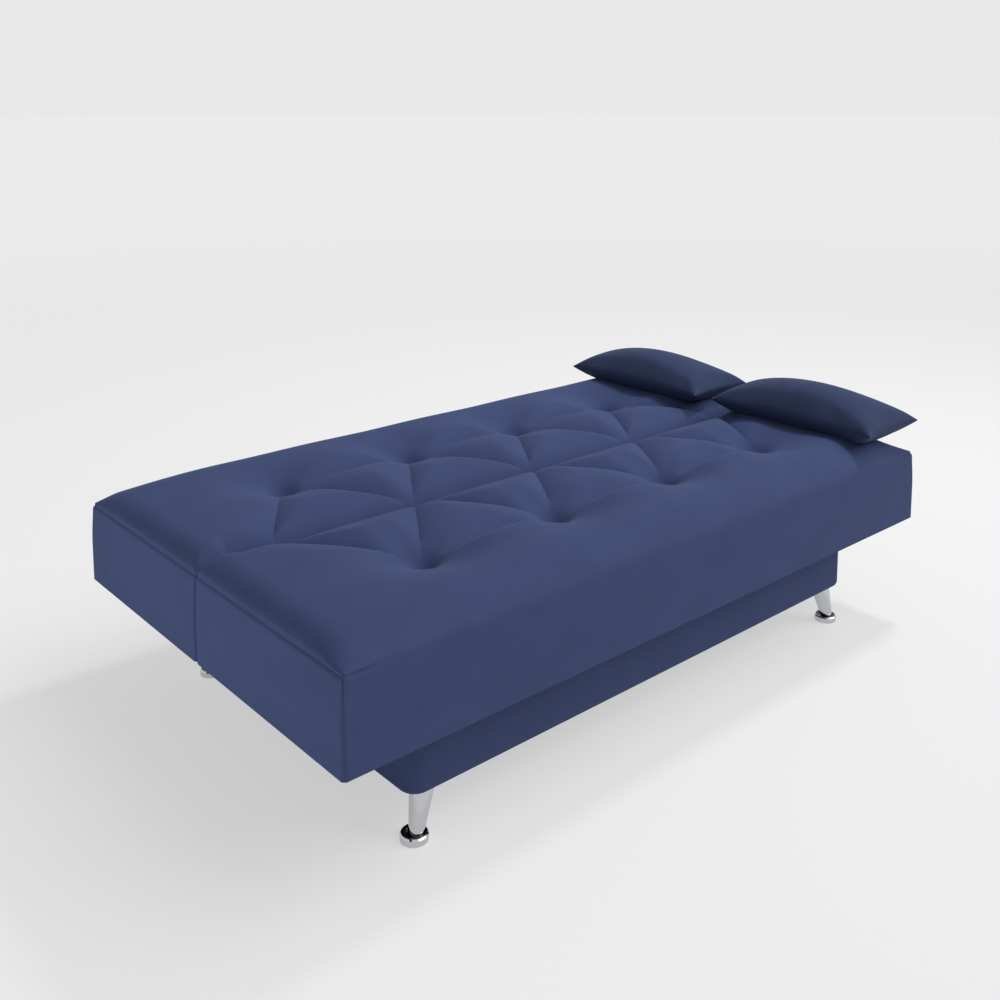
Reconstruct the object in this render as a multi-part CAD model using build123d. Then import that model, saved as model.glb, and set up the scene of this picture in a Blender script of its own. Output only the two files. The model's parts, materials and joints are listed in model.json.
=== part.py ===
"""Futon sofa bed: two upholstered halves, hinged at the split, on a covered plinth with four splayed legs.

Frame: X along the bed with the pillows at +X, the front at -Y, Z up, the origin on the floor
under the middle of the bed. Millimetres. The part is drawn flat, as a bed.
"""
import math
import os

from build123d import *

# Overall sizes
LENGTH = 1900.0
HALF_DEPTH = 556.0
SPLIT_GAP = 1.0
FLOOR_TO_BASE = 106.0
BASE_HEIGHT = 167.0
REST_GAP = 0.3

# Upholstered halves: boxing, crown and rounding
BORDER_HEIGHT = 188.0
BORDER_THICKNESS = 10.0
BORDER_BULGE = 4.0
CORNER_RADIUS = 6.0
CROWN = 45.0
EDGE_FALL_WIDTH = 135.0
END_FALL_WIDTH = 170.0
SHOULDER_RADIUS = 40.0
SHOULDER_TURN = 60.0

# Fold of the back half
FOLD_ANGLE = 70.0
PIVOT_BELOW_SEAM = 9.0
FOLD_MARGIN = 0.6

# Tufts: a row of dimples in each half, with creases to the split and along the row
TUFT_COUNT = 4
TUFT_PITCH = 383.0
TUFT_ROW = 285.0
TUFT_DEPTH = 42.0
TUFT_RADIUS = 88.0
CREASE_DEPTH = 32.0
CREASE_WIDTH = 75.0
CREASE_LIP = 1.0

# Frame of each half
RAIL_THICKNESS = 25.0
RAIL_HEIGHT = 72.0
CROSS_RAIL_WIDTH = 35.0
CROSS_RAIL_SPACING = 610.0
CORNER_BLOCK_LEG = 60.0
CORNER_BLOCK_HEIGHT = 50.0
DUST_CLOTH = 1.0
STRAP_COUNT = 9
STRAP_WIDTH = 60.0
STRAP_THICKNESS = 2.5
STRAP_PITCH = 200.0
STRAP_LAP = 23.0
TIE_WIDTH = 3.0
TIE_DISC_RADIUS = 10.0
TIE_DISC_SIDES = 8
TIE_DISC_THICKNESS = 3.0
TIE_CLEARANCE = 0.5
TIE_BELOW_TUFT = 6.0

# Click-clack hinges
ARM_THICKNESS = 5.0
ARM_GAP = 0.3
ARM_BAR_START = 45.0
ARM_BAR_LENGTH = 200.0
ARM_BAR_HEIGHT = 40.0
ARM_BAR_LIFT = 22.0
ARM_KNEE_DEPTH = 65.0
ARM_KNEE_DROP = 48.0
ARM_NECK_WIDTH = 30.0
ARM_BOLT_INSET = 32.0
EYE_RADIUS = 10.0
PIN_RADIUS = 5.0
PIN_CLEARANCE = 0.05
PIN_HEAD_RADIUS = 8.5
PIN_HEAD = 3.5
POCKET_SIDE = 3.0
POCKET_DEPTH = 90.0
POCKET_TOP = 14.0
POCKET_BOTTOM = 62.0
BOLT_RADIUS = 4.0
BOLT_HEAD_RADIUS = 7.0
BOLT_HEAD = 4.0
BOLT_SIDES = 6
BOLT_CLEARANCE = 0.25

# Ratchet sector, pawl and pawl spring
SECTOR_RADIUS = 46.0
SECTOR_FROM = 185.0
SECTOR_TO = 285.0
NOTCH_COUNT = 4
NOTCH_STEP = 15.0
NOTCH_DEPTH = 4.0
NOTCH_WIDTH = 6.0
PAWL_ANGLE = 258.0
PAWL_LENGTH = 30.0
PAWL_CLEARANCE = 0.4
PAWL_EYE_RADIUS = 7.0
PAWL_TIP = 5.0
STUD_RADIUS = 3.0
STUD_LIP = 1.0
SPRING_RADIUS = 2.5
SPRING_BORE = 1.6
SPRING_HEIGHT = 14.0
SPRING_ALONG = 14.0
LEDGE_THICKNESS = 3.0
LEDGE_LENGTH = 9.0

# Plinth
BASE_LENGTH = 1490.0
BASE_DEPTH = 916.0
BASE_SETBACK = 86.0
BASE_CORNER = 40.0
BASE_EDGE = 14.0
BASE_COVER = 10.0
BASE_FLANGE = 110.0
BASE_RAIL = 18.0
BASE_CROSS_HEIGHT = 61.0
BASE_POST = 60.0
BASE_CLOTH_LAP = 15.0
FIXING_FROM_FRONT = 156.0
FIXING_SPACING = 250.0
FIXING_BITE = 57.0

# Legs and feet
LEG_TOP_RADIUS = 26.0
LEG_FOOT_RADIUS = 15.0
LEG_INSET_X = 54.0
LEG_INSET_Y = 38.0
LEG_SPLAY_X = 24.0
LEG_SPLAY_Y = 6.0
LEG_SPARE = 10.0
CUP_RADIUS = 29.0
CUP_HEIGHT = 15.0
CUP_WALL = 4.0
CUP_FLOOR = 6.0
CUP_BEVEL = 2.5
RING_CLEARANCE = 0.3
RING_HEIGHT = 8.0
RING_BEVEL = 2.0
PAD_RADIUS = 25.0
PAD_THICKNESS = 2.0
LEG_STUD_RADIUS = 5.0
LEG_STUD_IN_LEG = 30.0
LEG_STUD_IN_POST = 55.0

# Loose pillows at the head end
PILLOW_LENGTH = 515.0
PILLOW_WIDTH = 243.0
PILLOW_DRAW = 9.0
PILLOW_RISE = 84.0
PILLOW_SAG = 74.0
PILLOW_EDGE = 4.0
PILLOW_RIM = 2.0
PILLOW_END_FALL_WIDTH = 145.0
PILLOW_SEAM_ABOVE_CROWN = 38.0
PILLOW_FROM_SPLIT = 287.0
SEAT_PILLOW_INSET = 107.0
BACK_PILLOW_INSET = 125.0
PILLOW_CLEARANCE = 0.3

# Heights
BASE_BOTTOM = FLOOR_TO_BASE
BASE_TOP = BASE_BOTTOM + BASE_HEIGHT
UNDERSIDE = BASE_TOP + REST_GAP
SEAM_Z = UNDERSIDE + BORDER_HEIGHT
CROWN_Z = SEAM_Z + CROWN
PIVOT_Z = SEAM_Z - PIVOT_BELOW_SEAM
RAIL_BOTTOM = UNDERSIDE + DUST_CLOTH
RAIL_TOP = RAIL_BOTTOM + RAIL_HEIGHT
FOAM_BOTTOM = RAIL_TOP + STRAP_THICKNESS

# Lengths and depths, measured from the middle of the bed and from the split
HALF_LENGTH = LENGTH / 2
INNER_FACE = SPLIT_GAP / 2
INNER_LENGTH = HALF_LENGTH - BORDER_THICKNESS
INNER_START = INNER_FACE + BORDER_THICKNESS
INNER_END = HALF_DEPTH - BORDER_THICKNESS
RAIL_X = INNER_LENGTH - RAIL_THICKNESS
CROSS_START = INNER_START + RAIL_THICKNESS
CROSS_END = INNER_END - RAIL_THICKNESS
CROSS_X = CROSS_RAIL_SPACING / 2

# The inner shoulder stays under the line that halves the closed fold, seen from the pivot
SHOULDER_LINE = math.radians((180.0 - FOLD_ANGLE) / 2)
SHOULDER_DROP = FOLD_MARGIN + (
    (1 - math.sin(SHOULDER_LINE)) * SHOULDER_RADIUS - math.sin(SHOULDER_LINE) * INNER_FACE
) / math.cos(SHOULDER_LINE)
SHOULDER_Z = PIVOT_Z - SHOULDER_DROP

# Hinge planes, outwards from the middle
SEAT_ARM_X = RAIL_X - ARM_THICKNESS
BACK_ARM_X = SEAT_ARM_X - ARM_GAP - ARM_THICKNESS
PIN_START = BACK_ARM_X - ARM_GAP - PIN_HEAD
PIN_END = RAIL_X + PIN_HEAD
POCKET_X = PIN_START - POCKET_SIDE
POCKET_END = PIN_END + POCKET_SIDE
ARM_BAR_Z = RAIL_BOTTOM + ARM_BAR_LIFT
KNEE_Z = PIVOT_Z - ARM_KNEE_DROP
BOLT_DEPTHS = (
    ARM_BAR_START + ARM_BOLT_INSET,
    ARM_BAR_START + ARM_BAR_LENGTH - ARM_BOLT_INSET,
)
BOLT_Z = ARM_BAR_Z + ARM_BAR_HEIGHT / 2

# Plinth planes
BASE_FRONT = BASE_SETBACK - HALF_DEPTH
BASE_REAR = BASE_FRONT + BASE_DEPTH
BASE_MIDDLE = (BASE_FRONT + BASE_REAR) / 2
BASE_FLOOR = BASE_BOTTOM + BASE_COVER
BASE_RAIL_X = BASE_LENGTH / 2 - BASE_COVER - BASE_RAIL
BASE_RAIL_FRONT = BASE_FRONT + BASE_COVER + BASE_RAIL
BASE_RAIL_REAR = BASE_REAR - BASE_COVER - BASE_RAIL
FIXING_YS = (FIXING_FROM_FRONT - HALF_DEPTH, FIXING_FROM_FRONT + FIXING_SPACING - HALF_DEPTH)
CUP_BOTTOM = PAD_THICKNESS
CUP_SEAT = CUP_BOTTOM + CUP_FLOOR


def block(x_from, x_to, y_from, y_to, z_from, z_to):
    """A box between two corners."""
    box = Box(x_to - x_from, y_to - y_from, z_to - z_from, align=(Align.MIN, Align.MIN, Align.MIN))
    return Pos(x_from, y_from, z_from) * box


def rod(radius, length, x, y, z):
    """An upright cylinder that starts at a point."""
    return Pos(x, y, z) * Cylinder(radius, length, align=(Align.CENTER, Align.CENTER, Align.MIN))


def bar_along_x(radius, x_from, x_to, y, z):
    """A cylinder along X between two planes."""
    bar = Cylinder(radius, abs(x_to - x_from), align=(Align.CENTER, Align.CENTER, Align.MIN))
    return Pos(min(x_from, x_to), y, z) * Rot(0, 90, 0) * bar


def across(face, x_from, x_to):
    """A YZ face made solid between two X planes."""
    start = min(x_from, x_to)
    return extrude(Plane((start, 0, 0), x_dir=(0, 1, 0), z_dir=(1, 0, 0)) * face, abs(x_to - x_from))


def bolt_face(radius):
    """Six-sided outline of a bolt's head or shank, or of its bore."""
    return RegularPolygon(radius, BOLT_SIDES)


def upright_bolt(radius, length, x, y, z):
    """A six-sided bar that starts at a point, for upright bolts, studs and their bores."""
    return extrude(Plane.XY.offset(z) * Pos(x, y) * bolt_face(radius), length)


def rise_arc(start, end):
    """An arc from a sloping edge up to a level top, or back down, level at the higher point."""
    low, high = sorted((start, end), key=lambda point: point[1])
    run = low[0] - high[0]
    drop = high[1] - low[1]
    radius = (run * run + drop * drop) / (2 * drop)
    turn = math.asin(run / radius) / 2
    middle = (high[0] + radius * math.sin(turn), high[1] - radius * (1 - math.cos(turn)))
    return ThreePointArc(start, middle, end)


def on_arc(centre, radius, degrees):
    """A point on a circle."""
    turn = math.radians(degrees)
    return (centre[0] + radius * math.cos(turn), centre[1] + radius * math.sin(turn))


def cross_section():
    """Pad section across the bed: rounded shoulder at the split, level crown, rolled outer edge."""
    low = (INNER_FACE, SHOULDER_Z)
    centre = (INNER_FACE + SHOULDER_RADIUS, SHOULDER_Z)
    knee = on_arc(centre, SHOULDER_RADIUS, 180 - SHOULDER_TURN)
    rise = math.radians(90 - SHOULDER_TURN)
    long_radius = (CROWN_Z - knee[1]) / (1 - math.cos(rise))
    crown_start = (knee[0] + long_radius * math.sin(rise), CROWN_Z)
    long_centre = (crown_start[0], CROWN_Z - long_radius)
    crown_end = (HALF_DEPTH - EDGE_FALL_WIDTH, CROWN_Z)
    seam = (HALF_DEPTH - BORDER_BULGE, SEAM_Z)
    return make_face([
        ThreePointArc(low, on_arc(centre, SHOULDER_RADIUS, 180 - SHOULDER_TURN / 2), knee),
        ThreePointArc(knee, on_arc(long_centre, long_radius, 135 - SHOULDER_TURN / 2), crown_start),
        Line(crown_start, crown_end),
        rise_arc(crown_end, seam),
        Polyline(seam, (INNER_END, SEAM_Z), (INNER_END, SHOULDER_Z), low),
    ])


def lengthwise_section():
    """Pad section along the bed: level crown, rolled down to both end seams."""
    seam_x = HALF_LENGTH - BORDER_BULGE
    crown_x = HALF_LENGTH - END_FALL_WIDTH
    return make_face([
        rise_arc((-seam_x, SEAM_Z), (-crown_x, CROWN_Z)),
        Line((-crown_x, CROWN_Z), (crown_x, CROWN_Z)),
        rise_arc((crown_x, CROWN_Z), (seam_x, SEAM_Z)),
        Polyline(
            (seam_x, SEAM_Z),
            (INNER_LENGTH, SEAM_Z),
            (INNER_LENGTH, SHOULDER_Z),
            (-INNER_LENGTH, SHOULDER_Z),
            (-INNER_LENGTH, SEAM_Z),
            (-seam_x, SEAM_Z),
        ),
    ])


def plan_block(z_from, z_to):
    """Outline of one half, with its rounded upright corners."""
    depth = HALF_DEPTH - INNER_FACE
    face = Pos(0, INNER_FACE + depth / 2) * RectangleRounded(LENGTH, depth, CORNER_RADIUS)
    return extrude(Plane.XY.offset(z_from) * face, z_to - z_from)


def crease_face(half_width, depth):
    """Cutter section: two swelling sides that meet in a sewn fold."""
    lip = CROWN_Z + CREASE_LIP
    over = CROWN_Z + CROWN
    fold = (0, CROWN_Z - depth)
    return make_face([
        rise_arc((-half_width, lip), fold),
        rise_arc(fold, (half_width, lip)),
        Polyline((half_width, lip), (half_width, over), (-half_width, over), (-half_width, lip)),
    ])


def crease(start, end):
    """Cutter for one sewn fold between two plan points."""
    run = Vector(end[0] - start[0], end[1] - start[1], 0)
    side = Vector(-run.Y, run.X, 0)
    plane = Plane((start[0], start[1], 0), x_dir=side, z_dir=run)
    return extrude(plane * crease_face(CREASE_WIDTH, CREASE_DEPTH), run.length)


def dimple(x, y):
    """Cutter for one tuft: the fold's section turned about an upright axis."""
    lip = CROWN_Z + CREASE_LIP
    over = CROWN_Z + CROWN
    floor = (0, CROWN_Z - TUFT_DEPTH)
    face = make_face([
        rise_arc(floor, (TUFT_RADIUS, lip)),
        Polyline((TUFT_RADIUS, lip), (TUFT_RADIUS, over), (0, over), floor),
    ])
    return Pos(x, y, 0) * revolve(Plane.XZ * face, Axis.Z)


def tuft_xs():
    """Places of the tufts along the bed."""
    return [(index - (TUFT_COUNT - 1) / 2) * TUFT_PITCH for index in range(TUFT_COUNT)]


def tuft_cutters():
    """Tufts, the folds along their row and the folds that run from each tuft to the split."""
    xs = tuft_xs()
    cutters = [crease((xs[0], TUFT_ROW), (xs[-1], TUFT_ROW))]
    overrun = 1 + SHOULDER_RADIUS / TUFT_ROW
    for x in xs:
        cutters.append(dimple(x, TUFT_ROW))
        for side in (-1, 1):
            end = (x + side * overrun * TUFT_PITCH / 2, TUFT_ROW - overrun * TUFT_ROW)
            cutters.append(crease((x, TUFT_ROW), end))
    return cutters


def hinge_pockets(depth, z_from, z_to):
    """Room for the two hinges beside the split."""
    return [
        block(POCKET_X, POCKET_END, 0, depth, z_from, z_to),
        block(-POCKET_END, -POCKET_X, 0, depth, z_from, z_to),
    ]


def top_pad():
    """Tufted top with a crown, rolled edges and a rounded shoulder at the split."""
    pad = extrude(Plane.YZ * cross_section(), HALF_LENGTH, both=True)
    pad &= extrude(Plane.XZ * lengthwise_section(), HALF_DEPTH, both=True)
    pad &= plan_block(SHOULDER_Z, CROWN_Z)
    pad -= tuft_cutters()
    pad -= [tie_cord(x, SHOULDER_Z, TIE_CLEARANCE) for x in tuft_xs()]
    return pad - hinge_pockets(POCKET_DEPTH, SHOULDER_Z, PIVOT_Z + POCKET_TOP)


def boxing():
    """Solid of one half below the top seam, its outer sides swelling between the seams."""
    middle = (UNDERSIDE + SEAM_Z) / 2
    edge = HALF_DEPTH - BORDER_BULGE
    end = HALF_LENGTH - BORDER_BULGE
    across_face = make_face([
        Polyline((edge, SEAM_Z), (INNER_FACE, SEAM_Z), (INNER_FACE, UNDERSIDE), (edge, UNDERSIDE)),
        ThreePointArc((edge, UNDERSIDE), (HALF_DEPTH, middle), (edge, SEAM_Z)),
    ])
    along_face = make_face([
        Line((-end, UNDERSIDE), (end, UNDERSIDE)),
        ThreePointArc((end, UNDERSIDE), (HALF_LENGTH, middle), (end, SEAM_Z)),
        Line((end, SEAM_Z), (-end, SEAM_Z)),
        ThreePointArc((-end, SEAM_Z), (-HALF_LENGTH, middle), (-end, UNDERSIDE)),
    ])
    body = extrude(Plane.YZ * across_face, HALF_LENGTH, both=True)
    body &= extrude(Plane.XZ * along_face, HALF_DEPTH, both=True)
    return body & plan_block(UNDERSIDE, SEAM_Z)


def shoulder_cutter():
    """Everything above the rounded shoulder, beside the split."""
    centre = (INNER_FACE + SHOULDER_RADIUS, SHOULDER_Z)
    low = (INNER_FACE, SHOULDER_Z)
    top = (centre[0], SHOULDER_Z + SHOULDER_RADIUS)
    face = make_face([
        ThreePointArc(low, on_arc(centre, SHOULDER_RADIUS, 135), top),
        Polyline(top, (-INNER_FACE, top[1]), (-INNER_FACE, SHOULDER_Z), low),
    ])
    return extrude(Plane.YZ * face, HALF_LENGTH, both=True)


def borders():
    """The four border panels of one half."""
    shell = boxing()
    shoulder = shoulder_cutter()
    inner = block(-INNER_LENGTH, INNER_LENGTH, INNER_FACE, INNER_START, UNDERSIDE, SHOULDER_Z)
    panels = {
        "outer": shell & block(-HALF_LENGTH, HALF_LENGTH, INNER_END, HALF_DEPTH, UNDERSIDE, SEAM_Z),
        "inner": inner - hinge_pockets(INNER_START, PIVOT_Z - POCKET_BOTTOM, SHOULDER_Z),
    }
    for name, x_from, x_to in (("left", -HALF_LENGTH, -INNER_LENGTH), ("right", INNER_LENGTH, HALF_LENGTH)):
        end = shell & block(x_from, x_to, INNER_FACE, INNER_END, UNDERSIDE, SEAM_Z)
        panels[name] = end - shoulder
    return panels


def tie_top():
    """Height at which a tuft's tie is knotted, under the fold."""
    return CROWN_Z - TUFT_DEPTH - TIE_BELOW_TUFT


def tie_cord(x, z_from, clearance):
    """Flat-sided twine of one tuft, or the bore that clears it."""
    half = TIE_WIDTH / 2 + clearance
    return block(x - half, x + half, TUFT_ROW - half, TUFT_ROW + half, z_from, tie_top() + clearance)


def tie_disc(x, clearance):
    """Eight-sided disc that holds a tie under the foam, or the recess that clears it."""
    face = Pos(x, TUFT_ROW) * RegularPolygon(TIE_DISC_RADIUS + clearance, TIE_DISC_SIDES)
    return extrude(Plane.XY.offset(FOAM_BOTTOM) * face, TIE_DISC_THICKNESS)


def tuft_ties():
    """Twine and a tie disc for each tuft."""
    return Compound([tie_disc(x, 0) + tie_cord(x, FOAM_BOTTOM, 0) for x in tuft_xs()])


def foam_core():
    """Foam slab between the borders, bored for the ties and cut out for the hinges."""
    core = block(-INNER_LENGTH, INNER_LENGTH, INNER_START, INNER_END, FOAM_BOTTOM, SHOULDER_Z)
    for x in tuft_xs():
        core -= tie_cord(x, FOAM_BOTTOM, TIE_CLEARANCE)
        core -= tie_disc(x, TIE_CLEARANCE)
    return core - hinge_pockets(POCKET_DEPTH, FOAM_BOTTOM, SHOULDER_Z)


def bolt_holes(x_from, x_to):
    """Bores for the arm bolts at one end, on the back half's side."""
    radius = BOLT_RADIUS + BOLT_CLEARANCE
    return [across(Pos(depth, BOLT_Z) * bolt_face(radius), x_from, x_to) for depth in BOLT_DEPTHS]


def end_rails():
    """The two end rails, bored for the hinge arms."""
    rails = []
    for side in (-1, 1):
        inner, outer = sorted((side * RAIL_X, side * INNER_LENGTH))
        rail = block(inner, outer, INNER_START, INNER_END, RAIL_BOTTOM, RAIL_TOP)
        rails.append(rail - bolt_holes(side * RAIL_X, side * INNER_LENGTH))
    return Compound(rails)


def cross_rails():
    """The two rails that stiffen the middle of one half."""
    half = CROSS_RAIL_WIDTH / 2
    return [
        block(x - half, x + half, CROSS_START, CROSS_END, RAIL_BOTTOM, RAIL_TOP)
        for x in (-CROSS_X, CROSS_X)
    ]


def corner_blocks():
    """Three-cornered glue blocks at the outer corners of the frame."""
    blocks = []
    for side in (-1, 1):
        corner = (side * RAIL_X, CROSS_END)
        face = make_face(Polyline(
            corner,
            (corner[0] - side * CORNER_BLOCK_LEG, corner[1]),
            (corner[0], corner[1] - CORNER_BLOCK_LEG),
            corner,
        ))
        blocks.append(extrude(Plane.XY.offset(RAIL_BOTTOM) * face, CORNER_BLOCK_HEIGHT, dir=(0, 0, 1)))
    return Compound(blocks)


def webbing():
    """Straps stretched from the inner rail to the outer rail."""
    straps = []
    for index in range(STRAP_COUNT):
        x = (index - (STRAP_COUNT - 1) / 2) * STRAP_PITCH
        straps.append(block(
            x - STRAP_WIDTH / 2,
            x + STRAP_WIDTH / 2,
            CROSS_START - STRAP_LAP,
            CROSS_END + STRAP_LAP,
            RAIL_TOP,
            FOAM_BOTTOM,
        ))
    return Compound(straps)


def half_pieces():
    """Pieces that both halves share, drawn on the back half's side of the split."""
    pieces = {
        "top_pad": top_pad(),
        "foam_core": foam_core(),
        "outer_rail": block(-RAIL_X, RAIL_X, CROSS_END, INNER_END, RAIL_BOTTOM, RAIL_TOP),
        "inner_rail": block(-RAIL_X, RAIL_X, INNER_START, CROSS_START, RAIL_BOTTOM, RAIL_TOP),
        "end_rails": end_rails(),
        "corner_blocks": corner_blocks(),
        "webbing": webbing(),
        "tuft_ties": tuft_ties(),
    }
    for name, panel in borders().items():
        pieces[name + "_border"] = panel
    return pieces


def dust_cloth():
    """Thin cloth under one half."""
    return block(-INNER_LENGTH, INNER_LENGTH, INNER_START, INNER_END, UNDERSIDE, RAIL_BOTTOM)


def capsule(start, end, width):
    """A flat bar with round ends between two points."""
    turn = math.degrees(math.atan2(end[1] - start[1], end[0] - start[0]))
    middle = ((start[0] + end[0]) / 2, (start[1] + end[1]) / 2)
    return Pos(*middle) * Rot(0, 0, turn) * SlotCenterToCenter(math.dist(start, end), width)


def arm_face(side):
    """Hinge arm: a bar on the end rail and a neck that rises over the inner rail to the eye."""
    bar_middle = (side * (ARM_BAR_START + ARM_BAR_LENGTH / 2), BOLT_Z)
    knee = (side * ARM_KNEE_DEPTH, KNEE_Z)
    face = Pos(*bar_middle) * Rectangle(ARM_BAR_LENGTH, ARM_BAR_HEIGHT)
    face += capsule((knee[0], BOLT_Z), knee, ARM_NECK_WIDTH)
    return face + capsule(knee, (0, PIVOT_Z), 2 * EYE_RADIUS)


def arm_bores(side):
    """Eye and bolt holes of a hinge arm."""
    bores = Pos(0, PIVOT_Z) * Circle(PIN_RADIUS + PIN_CLEARANCE)
    for depth in BOLT_DEPTHS:
        bores += Pos(side * depth, BOLT_Z) * bolt_face(BOLT_RADIUS + BOLT_CLEARANCE)
    return bores


def pawl_points():
    """Tip, stud and outward direction of the pawl, in the plane of the fold."""
    pivot = (0, PIVOT_Z)
    tip = on_arc(pivot, SECTOR_RADIUS + PAWL_CLEARANCE, PAWL_ANGLE)
    stud = on_arc(tip, PAWL_LENGTH, PAWL_ANGLE - 90)
    out = on_arc((0, 0), 1, PAWL_ANGLE)
    return tip, stud, out


def shifted(point, direction, distance):
    """A point moved along a direction."""
    return (point[0] + distance * direction[0], point[1] + distance * direction[1])


def spring_seat():
    """Place across the bed and top of the ledge under the pawl spring."""
    tip, stud, out = pawl_points()
    share = SPRING_ALONG / PAWL_LENGTH
    along = (stud[0] + share * (tip[0] - stud[0]), stud[1] + share * (tip[1] - stud[1]))
    under = shifted(along, out, PAWL_EYE_RADIUS)
    return under[0], under[1] - PAWL_CLEARANCE - SPRING_HEIGHT


def seat_arm(side):
    """Fixed hinge arm, with the pawl's stud and the ledge for its spring."""
    tip, stud, out = pawl_points()
    seat_y, ledge_z = spring_seat()
    face = arm_face(-1) + capsule(stud, (seat_y, ledge_z), 2 * EYE_RADIUS)
    arm = across(face - arm_bores(-1), side * SEAT_ARM_X, side * RAIL_X)
    stud_end = BACK_ARM_X - ARM_GAP
    arm += bar_along_x(STUD_RADIUS, side * stud_end, side * SEAT_ARM_X, *stud)
    arm += bar_along_x(STUD_RADIUS + STUD_LIP, side * PIN_START, side * stud_end, *stud)
    inner, outer = sorted((side * BACK_ARM_X, side * SEAT_ARM_X))
    half = LEDGE_LENGTH / 2
    return arm + block(inner, outer, seat_y - half, seat_y + half, ledge_z - LEDGE_THICKNESS, ledge_z)


def sector_face():
    """Ratchet sector about the pivot, with saw-tooth notches."""
    pivot = (0, PIVOT_Z)
    middle = (SECTOR_FROM + SECTOR_TO) / 2
    rim = ThreePointArc(*[on_arc(pivot, SECTOR_RADIUS, turn) for turn in (SECTOR_FROM, middle, SECTOR_TO)])
    face = make_face([rim, Polyline(rim @ 1, pivot, rim @ 0)])
    half_notch = math.degrees(NOTCH_WIDTH / SECTOR_RADIUS) / 2
    for index in range(NOTCH_COUNT):
        turn = PAWL_ANGLE - FOLD_ANGLE + index * NOTCH_STEP
        face -= make_face(Polyline(
            on_arc(pivot, SECTOR_RADIUS - NOTCH_DEPTH, turn + half_notch),
            on_arc(pivot, SECTOR_RADIUS + NOTCH_DEPTH, turn + half_notch),
            on_arc(pivot, SECTOR_RADIUS + NOTCH_DEPTH, turn - 2 * half_notch),
            on_arc(pivot, SECTOR_RADIUS - NOTCH_DEPTH, turn + half_notch),
        ))
    return face


def back_arm(side):
    """Moving hinge arm with its ratchet sector."""
    face = arm_face(1) + sector_face()
    return across(face - arm_bores(1), side * BACK_ARM_X, side * (BACK_ARM_X + ARM_THICKNESS))


def packer(side):
    """Spacer between the moving arm and its rail."""
    inner, outer = sorted((side * (BACK_ARM_X + ARM_THICKNESS), side * RAIL_X))
    bar_end = ARM_BAR_START + ARM_BAR_LENGTH
    body = block(inner, outer, ARM_BAR_START, bar_end, ARM_BAR_Z, ARM_BAR_Z + ARM_BAR_HEIGHT)
    return body - bolt_holes(inner, outer)


def arm_bolts(arm_x):
    """Bolts of the two arms of one half, drawn on the back half's side."""
    bolts = []
    for side in (-1, 1):
        for depth in BOLT_DEPTHS:
            place = Pos(depth, BOLT_Z)
            head = across(place * bolt_face(BOLT_HEAD_RADIUS), side * (arm_x - BOLT_HEAD), side * arm_x)
            bolts.append(head + across(place * bolt_face(BOLT_RADIUS), side * arm_x, side * INNER_LENGTH))
    return Compound(bolts)


def hinge_pins():
    """Two headed pins on the fold axis."""
    pins = []
    for side in (-1, 1):
        pin = bar_along_x(PIN_RADIUS, side * PIN_START, side * PIN_END, 0, PIVOT_Z)
        pin += bar_along_x(PIN_HEAD_RADIUS, side * PIN_START, side * (PIN_START + PIN_HEAD), 0, PIVOT_Z)
        pins.append(pin + bar_along_x(PIN_HEAD_RADIUS, side * RAIL_X, side * PIN_END, 0, PIVOT_Z))
    return Compound(pins)


def pawl(side):
    """Strut that drops into the sector's notches."""
    tip, stud, out = pawl_points()
    face = make_face(Polyline(
        tip, stud, shifted(stud, out, PAWL_EYE_RADIUS), shifted(tip, out, PAWL_TIP), tip
    ))
    face += Pos(*stud) * Circle(PAWL_EYE_RADIUS)
    face -= Pos(*stud) * Circle(STUD_RADIUS + PIN_CLEARANCE)
    return across(face, side * BACK_ARM_X, side * (BACK_ARM_X + ARM_THICKNESS))


def pawl_spring(side):
    """Sleeve-shaped envelope of the small coil under a pawl."""
    seat_y, ledge_z = spring_seat()
    x = side * (BACK_ARM_X + ARM_THICKNESS / 2)
    sleeve = rod(SPRING_RADIUS, SPRING_HEIGHT, x, seat_y, ledge_z)
    return sleeve - rod(SPRING_BORE, SPRING_HEIGHT, x, seat_y, ledge_z)


def plinth_block(inset, z_from, z_to, corner):
    """Rounded plan of the plinth, drawn in all round, between two heights."""
    face = RectangleRounded(BASE_LENGTH - 2 * inset, BASE_DEPTH - 2 * inset, corner)
    return extrude(Plane.XY.offset(z_from) * Pos(0, BASE_MIDDLE) * face, z_to - z_from)


def corner_places(inset_x, inset_y):
    """The four places at one inset from the plinth's corners, by name."""
    x = BASE_LENGTH / 2 - inset_x
    front = BASE_FRONT + inset_y
    rear = BASE_REAR - inset_y
    return {
        "front_left": (-x, front),
        "front_right": (x, front),
        "rear_left": (-x, rear),
        "rear_right": (x, rear),
    }


def leg_tops():
    """Centres of the legs where they meet the plinth."""
    return corner_places(LEG_INSET_X, LEG_INSET_Y)


def leg_feet():
    """Centres of the legs on the floor."""
    return corner_places(LEG_INSET_X - LEG_SPLAY_X, LEG_INSET_Y - LEG_SPLAY_Y)


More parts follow.
